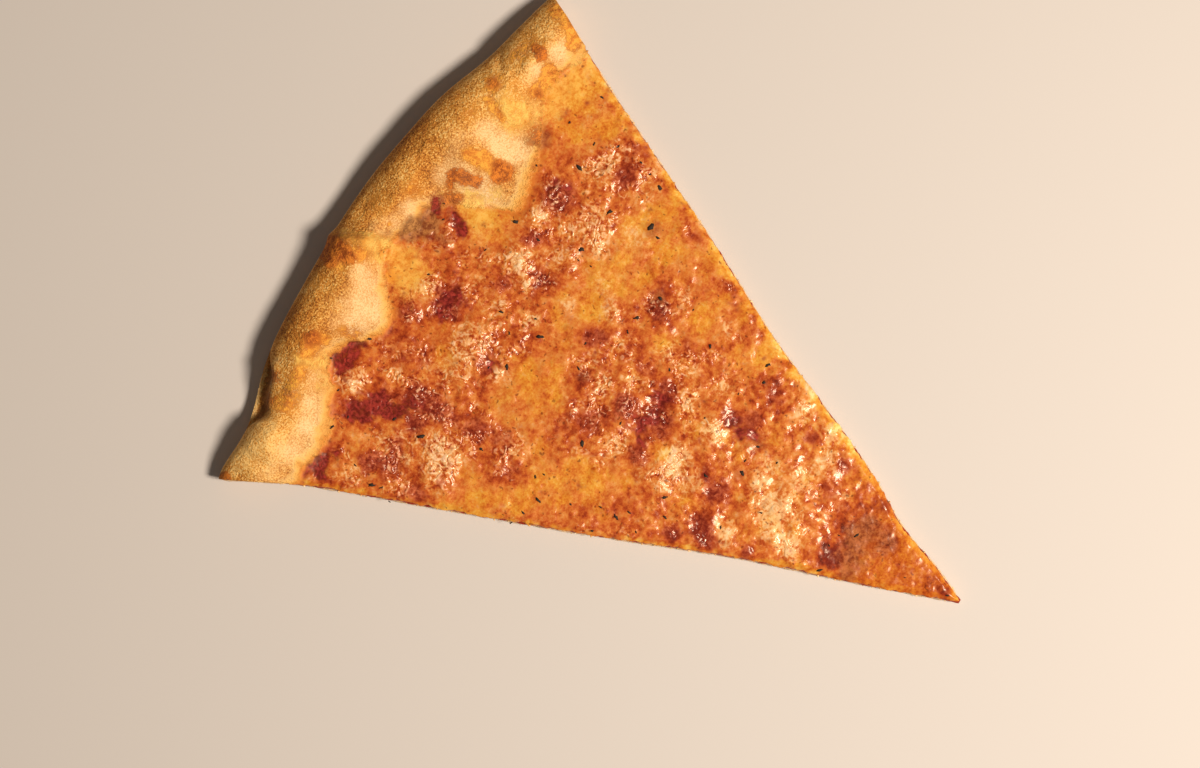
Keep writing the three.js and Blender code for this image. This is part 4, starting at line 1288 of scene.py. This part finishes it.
def buildHerbs():
    rng = np.random.default_rng(97)
    skin = Skin()
    x, y, size = np.array(herbs["places"]).T
    corners = herbs["corners"]
    top = cheeseTop(x, y, cheeseMarks(x, y))
    around = np.linspace(0, 2 * np.pi, corners + 1)[:-1]
    for k in range(len(x)):
        turn = rng.uniform(0, np.pi)
        long = herbs["length"] * size[k] * 0.5
        edge = rng.uniform(0.45, 1.15, corners)
        flatX = np.cos(around) * long * edge
        flatY = np.sin(around) * long * 0.5 * edge
        leafX = flatX * np.cos(turn) - flatY * np.sin(turn)
        leafY = flatX * np.sin(turn) + flatY * np.cos(turn)
        curl = rng.uniform(-0.1, 0.25) * (flatX / long) ** 2
        lift = top[k] + 0.1
        centreTop = skin.add(x[k], y[k], lift + 0.22)
        upper = skin.add(x[k] + leafX, y[k] + leafY, lift + 0.08 + curl)
        lower = skin.add(x[k] + leafX * 0.9, y[k] + leafY * 0.9, lift - 0.3)
        centreLow = skin.add(x[k], y[k], lift - 0.35)
        ringFaces(skin, upper, lower)
        fans = ((centreTop, upper, np.roll(upper, -1)), (centreLow, np.roll(lower, -1), lower))
        for middle, a, b in fans:
            skin.addFaces(np.stack([np.repeat(middle, corners), a, b], -1))
    return skin


def herbFinish():
    f = Finish("driedHerb")
    colour = f.blend(f.noise(0.8, 3), *herbs["tones"])
    return f.finish({"Base Color": colour, "Roughness": 0.85, "Normal": f.bump(f.noise(0.4, 2), 0.1, 0.6)})


crumbs = {
    "count": 90,  # on each cut
    "smallest": 0.2,
    "largest": 0.6,
    "standOut": 0.25,
    "onDough": 0.6,  # share of them below the sauce
    "doughHeight": 3.2,
    "topHeight": 5.5,
    "tones": [(0.35, (206, 140, 70)), (0.5, (234, 182, 112)), (0.65, (248, 218, 166))],
}


def buildCrumbs():
    rng = np.random.default_rng(23)
    skin = Skin()
    doughHeight = crumbs["doughHeight"]
    golden = (1 + 5 ** 0.5) / 2
    pairs = ((-1, golden), (1, golden), (-1, -golden), (1, -golden))
    ball = np.array([np.roll((near, far, 0), turn) for turn in range(3) for near, far in pairs])
    # its sides join corners that are 2 apart
    sides = []
    for trio in itertools.combinations(range(12), 3):
        a, b, c = ball[list(trio)]
        if max(map(np.linalg.norm, (a - b, b - c, c - a))) < 2.1:
            sides.append(trio if np.dot(np.cross(a, b), c) > 0 else trio[::-1])
    sides = np.array(sides)
    ball = ball / math.sqrt(1 + golden ** 2)
    for cutAt, outward in ((leftCut, -1), (rightCut, 1)):
        for k in range(crumbs["count"]):
            reach = 3 + 230 * (k + rng.uniform(0, 1)) / crumbs["count"]
            size = mix(crumbs["smallest"], crumbs["largest"], rng.uniform(0, 1) ** 2)
            if rng.uniform(0, 1) < crumbs["onDough"]:
                height = rng.uniform(size, doughHeight)
            else:
                height = rng.uniform(doughHeight, crumbs["topHeight"])
            away = crumbs["standOut"] * rng.uniform(0.2, 1)
            angle = float(cutAt(np.array([reach]))[0])
            x, y = flatPlace(reach, angle)
            x += outward * away * math.cos(math.radians(angle))
            y -= outward * away * math.sin(math.radians(angle))
            lump = ball * rng.uniform(0.65, 1.15, (12, 1)) * size * rng.uniform(0.7, 1.2, 3)
            corners = skin.add(x + lump[:, 0], y + lump[:, 1], np.maximum(height + lump[:, 2], 0.02))
            skin.addFaces(corners[sides])
    return skin


def crumbBitFinish():
    f = Finish("crumbBits")
    colour = f.ramp(f.noise(3, 2), crumbs["tones"])
    return f.finish({"Base Color": colour, "Roughness": 0.7, "Normal": f.bump(f.noise(0.3, 2), 0.06, 0.8)})


doughSkin = buildDough()
dough = makePiece("doughCrust", doughSkin, [crustFinish(), crumbFinish()], doughMarks(doughSkin))
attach(dough, "root")
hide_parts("dough")

sauce = makePiece("sauceLayer", buildSauce(), [sauceFinish()], {})
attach(sauce, "root")
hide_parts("sauce")

cheeseSkin, cheeseValues = buildCheese()
cheeseSheet = makePiece("cheeseSheet", cheeseSkin, [cheeseFinish()], cheeseValues)
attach(cheeseSheet, "root")
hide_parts("cheese")

flakes = makePiece("herbFlakes", buildHerbs(), [herbFinish()], {})
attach(flakes, "root")
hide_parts("cheese")

bits = makePiece("crustCrumbs", buildCrumbs(), [crumbBitFinish()], {})
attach(bits, "root")

studio = {
    "floorColour": (204, 190, 177),
    "floorSize": 3.0,
    "keySize": 0.3,
    "keyDistance": 1.3,
    "keyPower": 23.4,
    "keyDirection": (0.32, -0.95),
    "keyHeight": 58.0,  # degrees above the floor
    "keyColour": (1.0, 0.95, 0.88),
    "skyColour": (1.0, 0.97, 0.93, 1.0),
    "skyStrength": 0.12,
}

cameraSetup = {
    "lens": 85.0,
    "sensor": 36.0,
    "width": 388.2,  # millimetres across the view
    "middle": (-3.5, 137.5, 8.0),  # what it looks at, from the tip
    "turn": -57.35,
}


def buildStudio():
    mesh = bpy.data.meshes.new("floor")
    size = studio["floorSize"]
    corners = [(-size, -size, 0), (size, -size, 0), (size, size, 0), (-size, size, 0)]
    mesh.from_pydata(corners, [], [(0, 1, 2, 3)])
    f = Finish("paleFloor")
    mesh.materials.append(f.finish({"Base Color": studio["floorColour"], "Roughness": 0.7}))
    floor = newObject("floor", mesh)
    key = bpy.data.lights.new("keyLight", "AREA")
    key.shape = "DISK"
    key.size = studio["keySize"]
    key.energy = studio["keyPower"]
    key.color = studio["keyColour"]
    lamp = newObject("keyLight", key)
    height = math.radians(studio["keyHeight"])
    flatX, flatY = studio["keyDirection"]
    direction = Vector((flatX * math.cos(height), flatY * math.cos(height), math.sin(height))).normalized()
    lamp.location = direction * studio["keyDistance"]
    lamp.rotation_euler = direction.to_track_quat("Z", "Y").to_euler()
    world = bpy.data.worlds.new("softRoom")
    world.use_nodes = True
    background = world.node_tree.nodes["Background"]
    background.inputs["Color"].default_value = studio["skyColour"]
    background.inputs["Strength"].default_value = studio["skyStrength"]
    bpy.context.scene.world = world
    bpy.context.scene.view_settings.view_transform = "Standard"


def buildCamera():
    data = bpy.data.cameras.new("camera")
    data.lens = cameraSetup["lens"]
    data.sensor_width = cameraSetup["sensor"]
    camera = newObject("camera", data)
    middleX, middleY, middleZ = cameraSetup["middle"]
    away = cameraSetup["width"] * data.lens / data.sensor_width
    camera.location = Vector((middleX + shiftX, middleY + shiftY, middleZ + away)) * millimetre
    camera.rotation_euler = (0, 0, math.radians(cameraSetup["turn"]))
    bpy.context.scene.camera = camera


buildStudio()
buildCamera()
print("studio ready")
